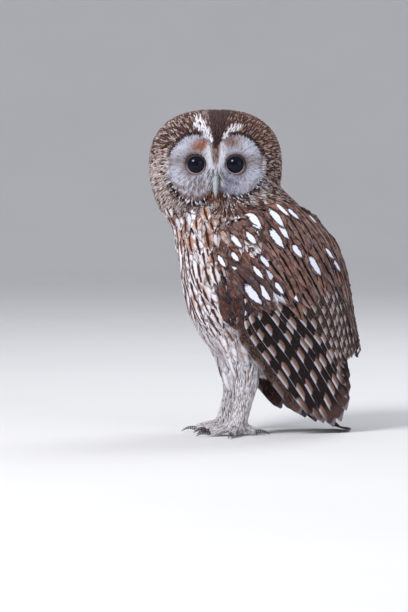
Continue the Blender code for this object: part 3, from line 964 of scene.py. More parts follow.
feathers(
    "face_disc", spread_roots(disc_share, 0.62 * MM, 21), disc_lie, 8.0, 1.0, disc_ground, head_unwrap, 22,
    size_at=disc_size, deep=1.4, rise=(-0.1, 0.5), stray=0.07,
)

# %% [markdown]
# ## Bristles
#
# Stiff bristles hang over the base of the bill on both sides. They stand off much further
# than the disc's feathers, so they are a piece of their own.

# %% Bristles of the bill


def bristle_share(points, kinds):
    across, ahead, up = in_head(points)
    beside = (1 - ramp(np.abs(across), 5.0, 7.5)) * ramp(-up, 4.5, 6.5) * (1 - ramp(-up, 20, 24))
    return beside * (ahead > 20)


def bristle_lie(points, normals):
    across, ahead, up = in_head(points)
    return head_direction(np.sign(across) * 0.5 * ramp(np.abs(across), 1.0, 5.0), 0.0, -1.0)


def bristle_colouring(points, chance):
    count = len(points)
    colour = WHITE * 0.9
    return blend(colour, UMBER, np.where(chance.random(count) < 0.35, 0.85, 0.1 * chance.random(count)))


feathers(
    "bill_bristles", spread_roots(bristle_share, 1.0 * MM, 23), bristle_lie, 10.0, 0.75, bristle_colouring,
    head_unwrap, 24, deep=0.6, rise=(3.0, 8.5), stray=0.12,
)

# %% [markdown]
# ## Crown, brows and nape
#
# Above the disc a dark rim runs into a crown of dark brown feathers speckled with buff. Two
# white brows slant down to the middle of the face with a dark wedge between them, and the
# sides of the head are paler and barred. Each of these is a share from 0 to 1, worked out
# from the place on the head, and the colours are laid over each other in turn.

# %% Head regions
BROW_PATH = np.array(((24.0, 52.0), (21.5, 42.0), (15.5, 34.0), (10.0, 29.0), (6.8, 23.0), (5.2, 16.0)))
BROW_HALF_WIDTH = np.array((3.4, 6.0, 5.4, 4.2, 3.2, 2.2))
BLAZE_LEAN = 0.075  # the wedge and brows lean to the bird's left towards the crown


def brow_share(across, up):
    """1 inside a white brow, 0 outside it."""
    leaned = np.abs(across - BLAZE_LEAN * np.maximum(up, 0.0))
    best = np.full(len(across), 9.0)
    for start, end, wide, narrow in zip(BROW_PATH, BROW_PATH[1:], BROW_HALF_WIDTH, BROW_HALF_WIDTH[1:]):
        step = end - start
        t = ((leaned - start[0]) * step[0] + (up - start[1]) * step[1]) / (step @ step)
        t = np.clip(t, 0, 1)
        away = np.hypot(leaned - start[0] - step[0] * t, up - start[1] - step[1] * t)
        best = np.minimum(best, away / (wide + (narrow - wide) * t))
    shorter = np.where(across > 0, 1 - ramp(up, 39, 44), 1 - ramp(up, 49, 54))
    return (1 - ramp(best, 0.8, 1.15)) * shorter


def wedge_share(across, up):
    leaned = np.abs(across - BLAZE_LEAN * np.maximum(up, 0.0))
    half = 3.0 + 10.5 * ramp(up, 12, 62)
    return (1 - ramp(leaned, half * 0.8, half * 1.2)) * ramp(up, 1, 8)


def face_arc(across, ahead, up):
    """How far round the head a place is from the middle of the face, in millimetres."""
    return np.arctan2(np.hypot(across, up - LOBE_MIDDLE[1]), ahead) * 62.0


def head_lie(points, normals):
    across, ahead, up = in_head(points)
    size = np.maximum(np.hypot(across, up + 12), 1.0)
    back = ramp(-ahead, -15, 35)
    return head_direction(
        across / size * 0.7,
        -1.0 + 0.35 * back,
        (up + 12) / size * 0.7 * (1 - back) - 0.25 - 1.3 * back - 0.5 * ramp(-up, -10, 35),
    )


def crown_share(points, kinds):
    across, ahead, up = in_head(points)
    outside = (lobe_distance(across, up) > 0.93) | (ahead < 8)
    return outside * ramp(up - 0.10 * np.abs(across), -62, -50) * (kinds == BODY_KIND)


# %% Head colours


def crown_ground(points, chance):
    across, ahead, up = in_head(points)
    count = len(points)
    lobe = lobe_distance(across, up)
    front = ramp(ahead, 0, 12)
    arc = face_arc(across, ahead, up)
    rows = 0.5 + 0.5 * np.sin(math.tau * (arc + 1.2 * np.sin(across * 0.4) + up * 0.04) / 6.0)
    side = ramp(-up, -24, 2) * (1 - ramp(-ahead, 15, 40))
    patchy = 0.55 * mottle(points, 2.6 * MM, 301) + 0.30 * rows + 0.15 * chance.random(count)
    colour = blend(CROWN_BROWN * 0.5, BROWN, 0.3 * mottle(points, 5 * MM, 302))
    colour = blend(colour, BROWN * 1.15, 0.8 * ramp(patchy, 0.48, 0.58))
    speck = blend(BUFF * 1.05, WHITE * 0.9, 0.55 * ramp(-across, -20, 10))
    colour = blend(colour, speck, 0.9 * ramp(patchy, 0.60, 0.68))
    light = blend(BUFF * 0.95, WHITE, 0.9 * mottle(points, 3.0 * MM, 304))
    paler = ramp(patchy + 0.16 * ramp(-across, -5, 5), 0.50, 0.60)
    colour = blend(colour, light, side * paler * 0.95)
    cheek = ramp(-across, 32, 46) * ramp(-up, -14, 2) * (1 - ramp(-up, 40, 50))
    colour = blend(colour, light * 1.12, cheek * ramp(patchy, 0.34, 0.46) * 0.95)
    colour = blend(colour, CROWN_BROWN, cheek * (1 - ramp(patchy, 0.26, 0.36)) * 0.8)
    ruff = front * ramp(-up, 12, 26) * (1 - ramp(lobe, 1.40, 1.7))
    colour = blend(colour, BUFF * 0.85, ruff * 0.45)
    round_lobe = np.arctan2(up - LOBE_MIDDLE[1], np.abs(across) - LOBE_MIDDLE[0])
    beads = 2.6 * (mottle(points, 3.2 * MM, 307) - 0.5)
    colour = blend(colour, WHITE, ruff * ramp(beads, 0.0, 0.4) * 0.9)
    dark_bead = ramp(-beads, 0.0, 0.4) * (1 - ramp(lobe, 1.22, 1.40))
    colour = blend(colour, UMBER * 0.5, ruff * dark_bead)
    low_rim = front * ramp(-up, 14, 22) * (1 - ramp(lobe, 1.12, 1.18)) * ramp(np.abs(across), 10, 16)
    colour = blend(colour, UMBER * 0.4, low_rim * np.where(np.sin(round_lobe * 9.0 + 1.0) > -0.5, 0.95, 0.3))
    chin = front * (1 - ramp(np.abs(across), 7, 13)) * ramp(-up, 31, 34) * (1 - ramp(-up, 45, 50))
    colour = blend(colour, blend(RUFOUS * 0.8, UMBER, 0.5 * mottle(points, 2.5 * MM, 305)), chin * 0.9)
    rim = front * ramp(up, -2, 10) * (1 - ramp(lobe, 1.09, 1.14))
    colour = blend(colour, UMBER * 0.6, rim * 0.95)
    side_rim = front * (1 - ramp(np.abs(up + 12), 12, 20)) * (1 - ramp(lobe, 1.05, 1.10))
    colour = blend(colour, GREY_BROWN * 0.6, side_rim * 0.7)
    wedge = front * wedge_share(across, up)
    colour = blend(colour, CROWN_BROWN * 0.85, wedge)
    colour = blend(colour, RUFOUS * 0.7, wedge * (1 - ramp(up, 10, 20)))
    solid = ramp(mottle(points, 2.4 * MM, 303) - 0.18 * ramp(up, 30, 50), -0.1, 0.15)
    solid = solid * (0.25 + 0.75 * ramp(up, 21, 28))
    brow = front * brow_share(across, up) * np.where(chance.random(count) < 0.92, solid, 0.1)
    colour = blend(colour, WHITE * 1.05, brow)
    return colour * chance.uniform(0.85, 1.12, (count, 1))


def crown_marks(points, chance):
    across, ahead, up = in_head(points)
    count = len(points)
    plain = ramp(ahead, 0, 12) * np.maximum(wedge_share(across, up), brow_share(across, up))
    nape = ramp(-ahead, 0, 30) + ramp(-up, 30, 55)
    cheek = ramp(np.abs(across), 34, 46) * ramp(ahead, -15, 5)
    streak = (0.35 + 0.5 * np.clip(nape, 0, 1)) * (1 - 0.6 * cheek)
    bars = np.where(chance.random(count) < 0.6, 0.75, 0.25) * (1 - 0.5 * cheek)
    spot = np.where(chance.random(count) < 0.22, 0.8, 0.0)
    return np.stack((streak, bars, spot), axis=-1) * (1 - plain)[:, None]


# %% Crown


def crown_size(points):
    across, ahead, up = in_head(points)
    near_face = (1 - ramp(lobe_distance(across, up), 1.0, 1.6)) * ramp(ahead, -5, 15)
    return 1.0 + 0.7 * ramp(-ahead, 5, 45) + 0.6 * ramp(-up, 25, 60) - 0.28 * near_face


def rim_lift(points):
    """The feathers of the rim stand up a little round the disc."""
    across, ahead, up = in_head(points)
    lobe = lobe_distance(across, up)
    rim = 0.9 * (1 - ramp(np.abs(lobe - 1.03), 0.02, 0.09)) * ramp(ahead, 0, 12) * ramp(-up, -12, 12)
    return rim + 0.5 * ramp(up, 20, 54)


CROWN = feather_material(
    "crown feathers", "plumage_face", bump=0.2,
    dark=UMBER * 0.6, halo=BROWN, pale=BUFF, bar_count=2.2, streak_width=0.12, fringe=0.25,
)
feathers(
    "crown", spread_roots(crown_share, 1.65 * MM, 31), head_lie, 7.5, 2.7, crown_ground, head_unwrap, 32,
    marks=crown_marks, material=CROWN, size_at=crown_size, lift_at=rim_lift, deep=2.0, rise=(-0.3, 0.6),
)

# %% [markdown]
# ## The rim
#
# A row of short, curled feathers frames the disc: dark above, beaded with white below. They
# could be the crown's first row, but on an owl they stand up as an edge of their own, so they
# are planted separately and closer together.

# %% Rim of the disc


def rim_share(points, kinds):
    across, ahead, up = in_head(points)
    lobe = lobe_distance(across, up)
    chin = (np.abs(across) < 9) & (up < 0)
    return ramp(lobe, 0.94, 0.96) * (1 - ramp(lobe, 1.02, 1.04)) * (ahead > 5) * ~chin


def rim_lie(points, normals):
    across, ahead, up = in_head(points)
    outwards = np.sign(across) * (np.abs(across) - LOBE_MIDDLE[0])
    return head_direction(outwards, -8.0, up - LOBE_MIDDLE[1])


def rim_colouring(points, chance):
    across, ahead, up = in_head(points)
    count = len(points)
    above = ramp(up, -2, 12)
    below = ramp(-up, 14, 24)
    side = 1 - np.maximum(above, below)
    colour = blend(UMBER * 0.75, BROWN, 0.6 * chance.random(count) ** 2)
    beads = ramp(mottle(points, 1.8 * MM, 306), 0.58 + 0.12 * (across < 0), 0.80)
    colour = blend(colour, UMBER * 0.4, below * (across < 0) * 0.7)
    colour = blend(colour, WHITE, below * beads * 0.9)
    mixed = blend(GREY_BROWN, WHITE, chance.random(count))
    colour = blend(colour, mixed, side * 0.85)
    between = (1 - ramp(np.abs(across), 10, 16)) * ramp(up, 0, 6)
    return blend(colour, blend(CROWN_BROWN * 0.85, WHITE, brow_share(across, up)), between)


feathers(
    "disc_rim", spread_roots(rim_share, 0.85 * MM, 25), rim_lie, 3.6, 1.3, rim_colouring, head_unwrap, 26,
    deep=0.5, rise=(0.5, 1.6),
)

# %% [markdown]
# ## Breast, belly and back
#
# Contour feathers overlap like tiles. On the breast they are white and buff with a dark streak
# along each shaft, so the streaks line up into broken stripes. The belly is paler and looser,
# and the back between the wings is brown with dark shafts. Stripes drawn on the skin would
# run over the feathers' edges, so each feather carries a streak of its own.

# %% Body regions
BACK_FROM = 0.003  # metres behind the spine


def body_lie(points, normals):
    place, reach, side = on_spine(points)
    outward = np.sign(side) * 0.16 * ramp(-reach, 0.0, 0.05) * ramp(place, 0.1, 0.5)
    loose = ramp(place, 0.55, 0.9) * ramp(-reach, 0.0, 0.05)
    flow = DOWN_SPINE[None] + outward[:, None] * np.array((1.0, 0.0, 0.0))
    return flow - loose[:, None] * 0.25 * TO_BACK


def wrist_share(points, kinds):
    """The wing's front edge laps over the side of the breast."""
    place, reach, _ = on_spine(points)
    level = ramp(place, 0.24, 0.30) * (1 - ramp(place, 0.53, 0.56))
    return level * (kinds == BODY_KIND) * (reach > -0.0735) * (reach < BACK_FROM)


def below_head(points):
    return ramp(-in_head(points)[2], 40, 52)


def body_share(points, kinds):
    front = on_spine(points)[1] < BACK_FROM
    return below_head(points) * (kinds == BODY_KIND) * front * (1 - wrist_share(points, kinds))


def back_share(points, kinds):
    return below_head(points) * (kinds == BODY_KIND) * (on_spine(points)[1] > BACK_FROM)


# %% Body colours


def body_ground(points, chance):
    place = on_spine(points)[0]
    count = len(points)
    pick = chance.random(count)
    white = blend(WHITE, BUFF, 0.5 * chance.random(count))
    rufous = blend(BUFF, 0.7 * RUFOUS + 0.3 * BROWN, chance.random(count))
    upper = 1 - ramp(place, 0.16, 0.42)
    colour = blend(white, rufous, (pick < 0.16 + 0.24 * upper) * 0.9)
    brown = blend(BROWN, RUFOUS, 0.5 * chance.random(count))
    colour = blend(colour, brown, (chance.random(count) < 0.35 * upper) * 0.85)
    colour = blend(colour, WHITE, 0.6 * ramp(place, 0.5, 0.85))
    return colour * chance.uniform(0.9, 1.08, (count, 1))


def back_ground(points, chance):
    count = len(points)
    colour = blend(BROWN, GREY_BROWN, 0.7 * chance.random(count))
    colour = blend(colour, CROWN_BROWN, 0.6 * (chance.random(count) < 0.3))
    return colour * chance.uniform(0.85, 1.1, (count, 1))


def body_marks(points, chance):
    place = on_spine(points)[0]
    count = len(points)
    belly = ramp(place, 0.62, 0.9)
    streak = 0.95 - 0.65 * belly
    bars = np.where(chance.random(count) < 0.5, 0.50, 0.0) * (1 - 0.6 * belly)
    spot = np.where(chance.random(count) < 0.35, 0.7, 0.0) * (1 - ramp(place, 0.2, 0.5))
    return np.stack((streak, bars, spot), axis=-1)


def body_size(points):
    return 0.62 + 0.38 * ramp(on_spine(points)[0], 0.02, 0.35)


# %% Breast
TILES = {  # what the large feathers of the body share
    "shape": "contour", "stations": 8, "columns": 7, "camber": 0.20, "deep": 3.0, "rise": (-0.4, 0.9),
    "stray": 0.06, "fray": 0.07, "patch": 0.004,
}
BREAST = feather_material(
    "breast feathers", "plumage_breast", dark=linear(36, 25, 28), halo=0.6 * RUFOUS + 0.4 * BROWN,
    pale=WHITE, bar_count=3.2, streak_width=0.15, fringe=0.75,
)
feathers(
    "breast", spread_roots(body_share, 8.6 * MM, 41), body_lie, 39.0, 18.0, body_ground, body_unwrap, 42,
    marks=body_marks, material=BREAST, size_at=body_size, smooth=3, **TILES,
)

# %% Back


def back_marks(points, chance):
    count = len(points)
    return np.stack((0.95 * np.ones(count), 0.8 * chance.random(count), np.zeros(count)), axis=-1)


WING = feather_material(
    "wing coverts", "plumage_brown", dark=linear(32, 23, 28), halo=BROWN, pale=linear(226, 230, 246),
    bar_count=2.4, streak_width=0.09, fringe=0.12,
)
feathers(
    "back", spread_roots(back_share, 6.2 * MM, 43), body_lie, 33.0, 13.5, back_ground, body_unwrap, 44,
    marks=back_marks, material=WING, size_at=body_size, **TILES,
)

# %% [markdown]
# ## Wing surfaces
#
# The folded arm lies on the flank as a curved plate, and the hand's long feathers run on from
# it behind the legs. Two numbers tell a place on both: how far down the spine it is and how
# far to the back. The section across the body is a rounded square, as in the solids.

# %% Arm and hand
SQUARENESS = 2.4  # 2 would be an ellipse
WING_PLACES = (0.06, 0.16, 0.28, 0.42, 0.56, 0.70, 0.82, 0.93, 1.06)
WING_HALF_WIDTHS = (0.052, 0.064, 0.071, 0.0745, 0.0735, 0.067, 0.058, 0.048, 0.036)
WING_TO_BREAST = (0.070, 0.083, 0.087, 0.091, 0.093, 0.091, 0.083, 0.075, 0.066)
WING_TO_BACK = (0.047, 0.059, 0.073, 0.0825, 0.084, 0.079, 0.0735, 0.070, 0.062)
HAND_CURL = 0.092  # the hand's least reach to the breast, so that its front edge curls less


def from_spine(place, reach, across):
    """World points from place down the spine, reach to the back and distance across, in metres."""
    place, reach, across = np.broadcast_arrays(place, reach, across)
    off = DOWN_SPINE * (place * SPINE_LENGTH)[..., None] + TO_BACK * reach[..., None]
    return SPINE_TOP + off + across[..., None] * np.array((1.0, 0.0, 0.0))


def section(place):
    """Half width, reach to the breast and reach to the back of the wings' tube."""
    sizes = (WING_HALF_WIDTHS, WING_TO_BREAST, WING_TO_BACK)
    return (np.interp(place, WING_PLACES, size) for size in sizes)


def curl(reach, to_breast, to_back, least=0.0):
    """The section's rounding: 1 at the spine, less towards its front and back edges."""
    limit = np.where(reach >= 0, to_back, to_breast)
    return np.clip(1 - np.abs(reach / limit) ** SQUARENESS, least, 1) ** (1 / SQUARENESS)


def arm_lie(points, normals):
    """Down the body and a little to the back, more so near the wing's front edge."""
    reach = on_spine(points)[1]
    slant = 0.12 + 0.17 * (1 - ramp(reach, -0.055, 0.02))
    return DOWN_SPINE[None] + slant[:, None] * TO_BACK[None]


def wing_unwrap(points):
    """The left wing above, the right wing below."""
    place, reach, side = on_spine(points)
    u = (place - 0.05) / 1.3
    v = (reach + 0.10) / 0.20
    return inside_square(u, np.where(side > 0, 0.5 + 0.5 * np.clip(v, 0, 1), 0.5 * np.clip(v, 0, 1)))


# %% [markdown]
# ## Coverts
#
# The wing's top and front are tiled with short coverts that grow larger towards the hand.
# They are brown, mottled with buff and dark patches, and darkest in front of the hand's long
# feathers. Straight rows would look like roof tiles, so their roots are spread by chance and
# only kept apart.

# %% Coverts


def places_of(points):
    """Place down the spine and reach to the back in millimetres."""
    place, reach, _ = on_spine(points)
    return place, reach / MM


def dark_zone(place, reach):
    """The coverts of the hand, in front of the long feathers, are the darkest."""
    return ramp(place, 0.46, 0.50) * (1 - ramp(place, 0.66, 0.70)) * (1 - ramp(reach, -34, -20))


def covert_ground(points, chance):
    place, reach = places_of(points)
    count = len(points)
    pick = 0.3 * chance.random(count) + 0.7 * mottle(points, 9 * MM, 501)
    colour = blend(BROWN, UMBER, 0.85 * (1 - ramp(pick, 0.30, 0.45)))
    colour = blend(colour, BUFF, 0.8 * ramp(pick, 0.52, 0.64) * (1 - ramp(reach, -20, 0)))
    colour = blend(colour, WHITE, 0.9 * ramp(pick, 0.56, 0.66) * (1 - ramp(reach, -16, 6)))
    shoulder = (1 - ramp(place, 0.30, 0.50)) * (1 - ramp(reach, -45, -5))
    colour = blend(colour, RUFOUS, shoulder * 0.7 * chance.random(count))
    back = ramp(reach, -8, 14) * (1 - ramp(place, 0.40, 0.50))
    colour = blend(colour, blend(BROWN, GREY_BROWN, chance.random(count)), 0.7 * back)
    front = (1 - ramp(reach, -66, -54)) * (1 - ramp(place, 0.40, 0.46))
    colour = blend(colour, WHITE, 0.7 * front * chance.random(count))
    dark = dark_zone(place, reach)
    dusk = blend(UMBER * 1.2, RUFOUS * 0.8, 0.4 * (chance.random(count) < 0.4))
    colour = blend(colour, dusk, dark)
    return colour * chance.uniform(0.85, 1.15, (count, 1))


def covert_marks(points, chance):
    place, reach = places_of(points)
    count = len(points)
    back = ramp(reach, -8, 14)
    streak = 0.75 + 0.25 * back - 0.3 * chance.random(count) * (1 - back)
    dark = dark_zone(place, reach)
    bars = np.where(chance.random(count) < 0.7, 1.0, 0.4) * (1 - 0.45 * back)
    bars = bars + (1.0 - bars) * dark
    pale = ramp(mottle(points, 9 * MM, 501), 0.50, 0.62) * (1 - ramp(reach, -20, 0)) * (1 - dark)
    bars = bars * (1 - 0.75 * pale)
    streak = streak * (1 - 0.4 * pale)
    spotted = chance.random(count) < 0.10 - 0.05 * back
    spot = np.where(spotted, chance.uniform(0.7, 1.0, count), 0.0) * (1 - dark)
    return np.stack((streak, bars, spot), axis=-1)


def covert_end(reach):
    """How far down the spine the roots of the coverts go, by the reach to the back in millimetres."""
    edge = (-70, -45, -22, 0, 30, 50, 62, 66, 70)
    return np.interp(reach, edge, (0.52, 0.50, 0.475, 0.48, 0.50, 0.50, 0.55, 0.75, 0.95))


def wing_share(points, kinds):
    place, reach = places_of(points)
    share = np.maximum(kinds == WING_KIND, wrist_share(points, kinds))
    return share * (place < covert_end(reach))


def covert_size(points):
    return 0.55 + 0.60 * ramp(on_spine(points)[0], 0.12, 0.48)


def lifted_below(highest, start, end):
    """A lift of the tips that grows to highest millimetres between two places down the spine."""
    return lambda points: highest * ramp(on_spine(points)[0], start, end)


# %% Planting the coverts
WING_TILES = {"shape": "contour", "columns": 7, "mirrored": True}


feathers(
    "coverts", spread_roots(wing_share, 5.4 * MM, 51), arm_lie, 32.0, 12.5, covert_ground, wing_unwrap, 52,
    marks=covert_marks, material=WING, size_at=covert_size, lift_at=lifted_below(1.7, 0.38, 0.47),
    stations=7, camber=0.14, deep=1.8, stray=0.08, fray=0.04, smooth=2, patch=0.004, **WING_TILES,
)

# %% [markdown]
# ## Scapulars
#
# Longer, narrower feathers hang from the shoulder over the upper wing. Their dark shafts
# line up into thin stripes down the bird's back.

# %% Scapulars


def scapular_share(points, kinds):
    place, reach = places_of(points)
    return (kinds == WING_KIND) * ramp(reach, -14, -2) * (1 - ramp(place, 0.44, 0.50))


def brown_ground(points, chance):
    count = len(points)
    pick = 0.6 * chance.random(count) + 0.4 * mottle(points, 12 * MM, 502)
    colour = blend(BROWN, GREY_BROWN, 0.6 * chance.random(count))
    colour = blend(colour, RUFOUS * 0.8, 0.3 * ramp(pick, 0.50, 0.75))
    colour = blend(colour, UMBER * 1.6, 0.7 * (1 - ramp(pick, 0.22, 0.36)))
    return colour * chance.uniform(0.85, 1.15, (count, 1))


def scapular_marks(points, chance):
    count = len(points)
    return np.stack((np.ones(count), 0.6 * chance.random(count), np.zeros(count)), axis=-1)


SCAPULAR = feather_material(
    "scapulars", "plumage_brown", dark=linear(18, 12, 16), halo=BROWN * 0.8, pale=BUFF,
    bar_count=2.4, streak_width=0.14, fringe=0.35,
)
feathers(
    "scapulars", spread_roots(scapular_share, 8.5 * MM, 53), arm_lie, 46.0, 13.0, brown_ground,
    wing_unwrap, 54, marks=scapular_marks, material=SCAPULAR, size_at=covert_size,
    lift_at=lifted_below(1.7, 0.34, 0.44), stations=9, camber=0.14, deep=0.8, rise=(0.3, 0.9),
    stray=0.05, fray=0.04, smooth=2, patch=0.005, **WING_TILES,
)

# %% [markdown]
# ## White drops
#
# Some twenty feathers on each wing end in a large white drop on the outer web. Their places
# are part of the bird's look, so the tips are given one by one, and each root is found by
# combing backwards from its tip.

# %% Feathers with white drops
DROPS = (  # place down the spine and reach to the back of the tip, then length and width, in mm
    (0.160, -6, 24, 17), (0.204, -4, 20, 14), (0.220, 29, 30, 10), (0.272, 14, 36, 18),
    (0.336, 11, 36, 18), (0.398, 23, 48, 17), (0.468, 27, 34, 15), (0.569, 39, 42, 17),
    (0.552, 60, 32, 13), (0.608, 63, 28, 11), (0.559, -33, 44, 20), (0.589, -21, 40, 20),
    (0.586, -6, 30, 13), (0.640, 6, 26, 11), (0.343, -49, 26, 13), (0.361, -36, 26, 14),
    (0.249, -16, 17, 15), (0.266, -30, 26, 13), (0.274, 40, 28, 11), (0.446, -22, 26, 11),
)


def tips_to_roots(tips, lie, lengths):
    """Where feathers start that end at tips and follow the lie."""
    return comb(tips, lambda points, normals: -lie(points, normals), lengths, 8)[0][:, -1]


def drop_ground(points, chance):
    place, reach = places_of(points)
    dusky = 0.25 + 0.45 * ramp(place, 0.48, 0.56) * (1 - ramp(reach, 10, 30))
    colour = blend(brown_ground(points, chance), RUFOUS, 0.4 * chance.random(len(points)))
    return blend(colour, UMBER * 1.2, dusky)


def drop_marks(points, chance):
    count = len(points)
    return np.stack((0.95 * np.ones(count), chance.uniform(0.5, 1.0, count), np.ones(count)), axis=-1)


def outermost(points, side):
    """The places on the guide that are seen first from the side."""
    found = points.copy()
    for index, point in enumerate(points):
        hit = guide_tree.ray_cast(Vector(point) + Vector((side * 0.05, 0, 0)), Vector((-side, 0, 0)))
        if hit[0] is not None:
            found[index] = np.array(hit[0])
    return found


drop_places, drop_reaches, drop_lengths, drop_widths = np.array(DROPS).T
half_widths, to_breast, to_back = section(drop_places)
drop_out = half_widths * curl(drop_reaches * MM, to_breast, to_back)
drop_tips = np.concatenate([
    outermost(from_spine(drop_places, drop_reaches * MM, side * drop_out), side) for word, side in SIDES
])
drop_lengths, drop_widths = np.tile(drop_lengths, 2), np.tile(drop_widths, 2)
for size in sorted(set(drop_widths)):
    pick = drop_widths == size
    roots = tips_to_roots(drop_tips[pick], arm_lie, drop_lengths[pick] * MM)
    feathers(
        f"drops_{int(size)}", roots, arm_lie, drop_lengths[pick].mean(), size, drop_ground, wing_unwrap,
        100 + int(size), marks=drop_marks, material=WING, lift_at=lifted_below(1.6, 0.34, 0.44),
        stations=9, camber=0.12, deep=0.0, rise=(2.0, 2.4), stray=0.02, fray=0.015, patch=0.006,
        **WING_TILES,
    )


# %% [markdown]
# ## The marks on a flight feather
#
# Wing and tail feathers are barred. On the narrow web in front of the shaft the pale bars are
# nearly white, and behind it they turn to buff and fade. The inner ones are mottled finely,
# with a row of many thin bars. A group of their own draws these marks from the same numbers.

# %% Quill mark group
SHAFT = -0.42  # across the vane, where the shaft runs


def fill_quill_marks():
    """Draws the bars, the fine specks, the shaft, the pale front edge and the tip."""
    tree, given, (across, along, own), (bar_count, bar_share, mottle_share) = marks_group(
        "quill marks", ("Dark", "Pale"), ()
    )
    plus, minus, times = maths(tree)
    off_shaft = minus(across, SHAFT)
    behind = calc(tree, "ABSOLUTE", off_shaft)
    place = join_xyz(tree, times(across, 1.5), times(along, times(bar_count, 1.2)), times(own, 77.0))
    wobble = minus(noise(tree, place, 1.6), 0.5)

    wave = plus(times(along, bar_count), own)
    wave = plus(wave, times(wobble, 0.30))
    wave = plus(wave, times(off_shaft, 0.24))
    wave = calc(tree, "SINE", times(wave, math.tau))
    wave = minus(wave, times(step_up(tree, off_shaft, 0.02, 0.16), 1.7))
    bars = times(step_up(tree, wave, -0.20, 0.30), bar_share)

    front = step_down(tree, off_shaft, -0.48, -0.22)
    bar_colour = mix_colour(tree, front, given["Ground"], given["Pale"])
    colour = mix_colour(tree, bars, given["Dark"], bar_colour)
    grain = noise(tree, place, 11.0, 3.0)
    speck = times(step_up(tree, grain, 0.47, 0.60), mottle_share)
    colour = mix_colour(tree, speck, colour, given["Ground"])

    shaft = step_down(tree, behind, 0.02, 0.05)
    colour = mix_colour(tree, times(shaft, 0.7), colour, given["Dark"])
    uneven = times(step_up(tree, wobble, -0.15, 0.15), 0.75)
    front_edge = times(step_down(tree, across, -0.97, -0.90), step_up(tree, along, 0.14, 0.22))
    colour = mix_colour(tree, times(front_edge, uneven), colour, given["Pale"])
    tip = step_up(tree, plus(along, times(wobble, 0.05)), 0.90, 0.95)
    colour = mix_colour(tree, times(tip, 0.7), colour, BROWN * 0.6)
    rim = step_up(tree, plus(along, times(behind, 0.012)), 0.976, 0.986)
    colour = mix_colour(tree, times(rim, 0.30), colour, given["Pale"])

    barbs = calc(tree, "SINE", times(minus(times(along, 150.0), times(behind, 9.0)), math.tau))
    shade = plus(plus(times(barbs, 0.04), times(grain, 0.4)), 0.80)
    height = plus(barbs, times(shaft, 6.0))
    node_with(tree, "NodeGroupOutput", {"Colour": scaled(tree, colour, shade), "Height": height})
    return tree


QUILL = marked_material(
    "flight feathers", fill_quill_marks(), 0.62, "plumage_brown", 0.3,
    dark=linear(24, 17, 21), pale=linear(200, 200, 214),
)

# %% [markdown]
# ## Flight feathers
#
# Each feather of the hand is a long blade with a narrow web in front of its shaft and a wide
# one behind it. The wide web slips under the next feather, and the front edge lies on the one
# before, like shingles. A blade has a top and an underside a fraction of a millimetre apart.

# %% Blades
BLADE_COLUMNS = 7
BLADE_STATIONS = 26
BLADE_THICKNESS = 0.0005
top_across = np.linspace(-1, 1, BLADE_COLUMNS)
blade_across = np.concatenate((top_across, top_across[::-1]))


def blades(lines, ups, sides, half_widths, shingle):
    """Closed blades along their shafts. sides point across each blade, from front edge to back."""
    top = top_across[None, None, :, None]
    off = (top - SHAFT) * half_widths[:, :, None, None]
    raised = shingle * (1 - ramp(top, -1.0, 0.1)) - 0.3 * shingle * ramp(top, 0.0, 1.0)
    surface = lines[:, :, None] + sides[:, :, None] * off + ups[:, :, None] * raised
    thin = BLADE_THICKNESS * (1.06 - np.abs(top) ** 3)
    under = surface - ups[:, :, None] * thin
    return np.concatenate((surface, under[:, :, ::-1]), axis=2)


def blade_outline(blunt):
    """Half widths along a blade, as shares of its widest; blunt is the share that the tip takes."""
    t = np.linspace(0, 1, BLADE_STATIONS)
    end = np.clip((t - (1 - blunt)) / blunt, 0, 1)
    return np.clip(0.45 + 2.2 * t, 0, 1) * np.sqrt(np.clip(1 - end ** 2, 0.015, 1))


# %% The hand's outline
HAND_PLACES = (0.56, 0.72, 0.86, 1.011, 1.10, 1.185, 1.26, 1.325)
HAND_HALF_WIDTHS = (0.0665, 0.060, 0.052, 0.044, 0.040, 0.0365, 0.0335, 0.031)
HAND_EDGES = (  # the front edges, root to tip: place down the spine and reach to the back in mm
    ((0.58, -62), (0.70, -64), (0.89, -52.5), (1.185, -33)),
    ((0.53, -49), (0.67, -55), (0.90, -41.5), (1.225, -20)),
    ((0.45, -47), (0.66, -48), (0.92, -31), (1.275, -12)),
    ((0.44, -44), (0.65, -38.7), (0.93, -19), (1.315, -3)),
    ((0.43, -42), (0.65, -27), (0.94, -7.5), (1.305, 7)),
    ((0.43, -35), (0.65, -19.8), (0.93, 2.2), (1.265, 17)),
    ((0.42, -29), (0.65, -15), (0.93, 9), (1.21, 22.5)),
    ((0.42, -22), (0.65, -4.5), (0.90, 16.8), (1.15, 26)),
    ((0.42, -13), (0.65, 5), (0.88, 21), (1.10, 28.5)),
    ((0.42, 0), (0.65, 16.5), (0.86, 26), (1.06, 32)),
    ((0.42, 8), (0.65, 25), (0.85, 32), (1.04, 35)),
    ((0.42, 18), (0.65, 34.5), (0.85, 38.5), (1.03, 39.5)),
    ((0.42, 27), (0.65, 39.5), (0.85, 41.8), (1.03, 42)),
    ((0.43, 36), (0.65, 44), (0.85, 46), (1.035, 46)),
    ((0.44, 44), (0.65, 49.5), (0.85, 51.5), (1.03, 51)),
    ((0.46, 51), (0.65, 55.5), (0.85, 57), (1.02, 56)),
)
BAR_HEIGHTS = (0.1070, 0.1150, 0.1040, 0.1045, 0.0955, 0.1100, 0.1000)  # of one pale bar on each


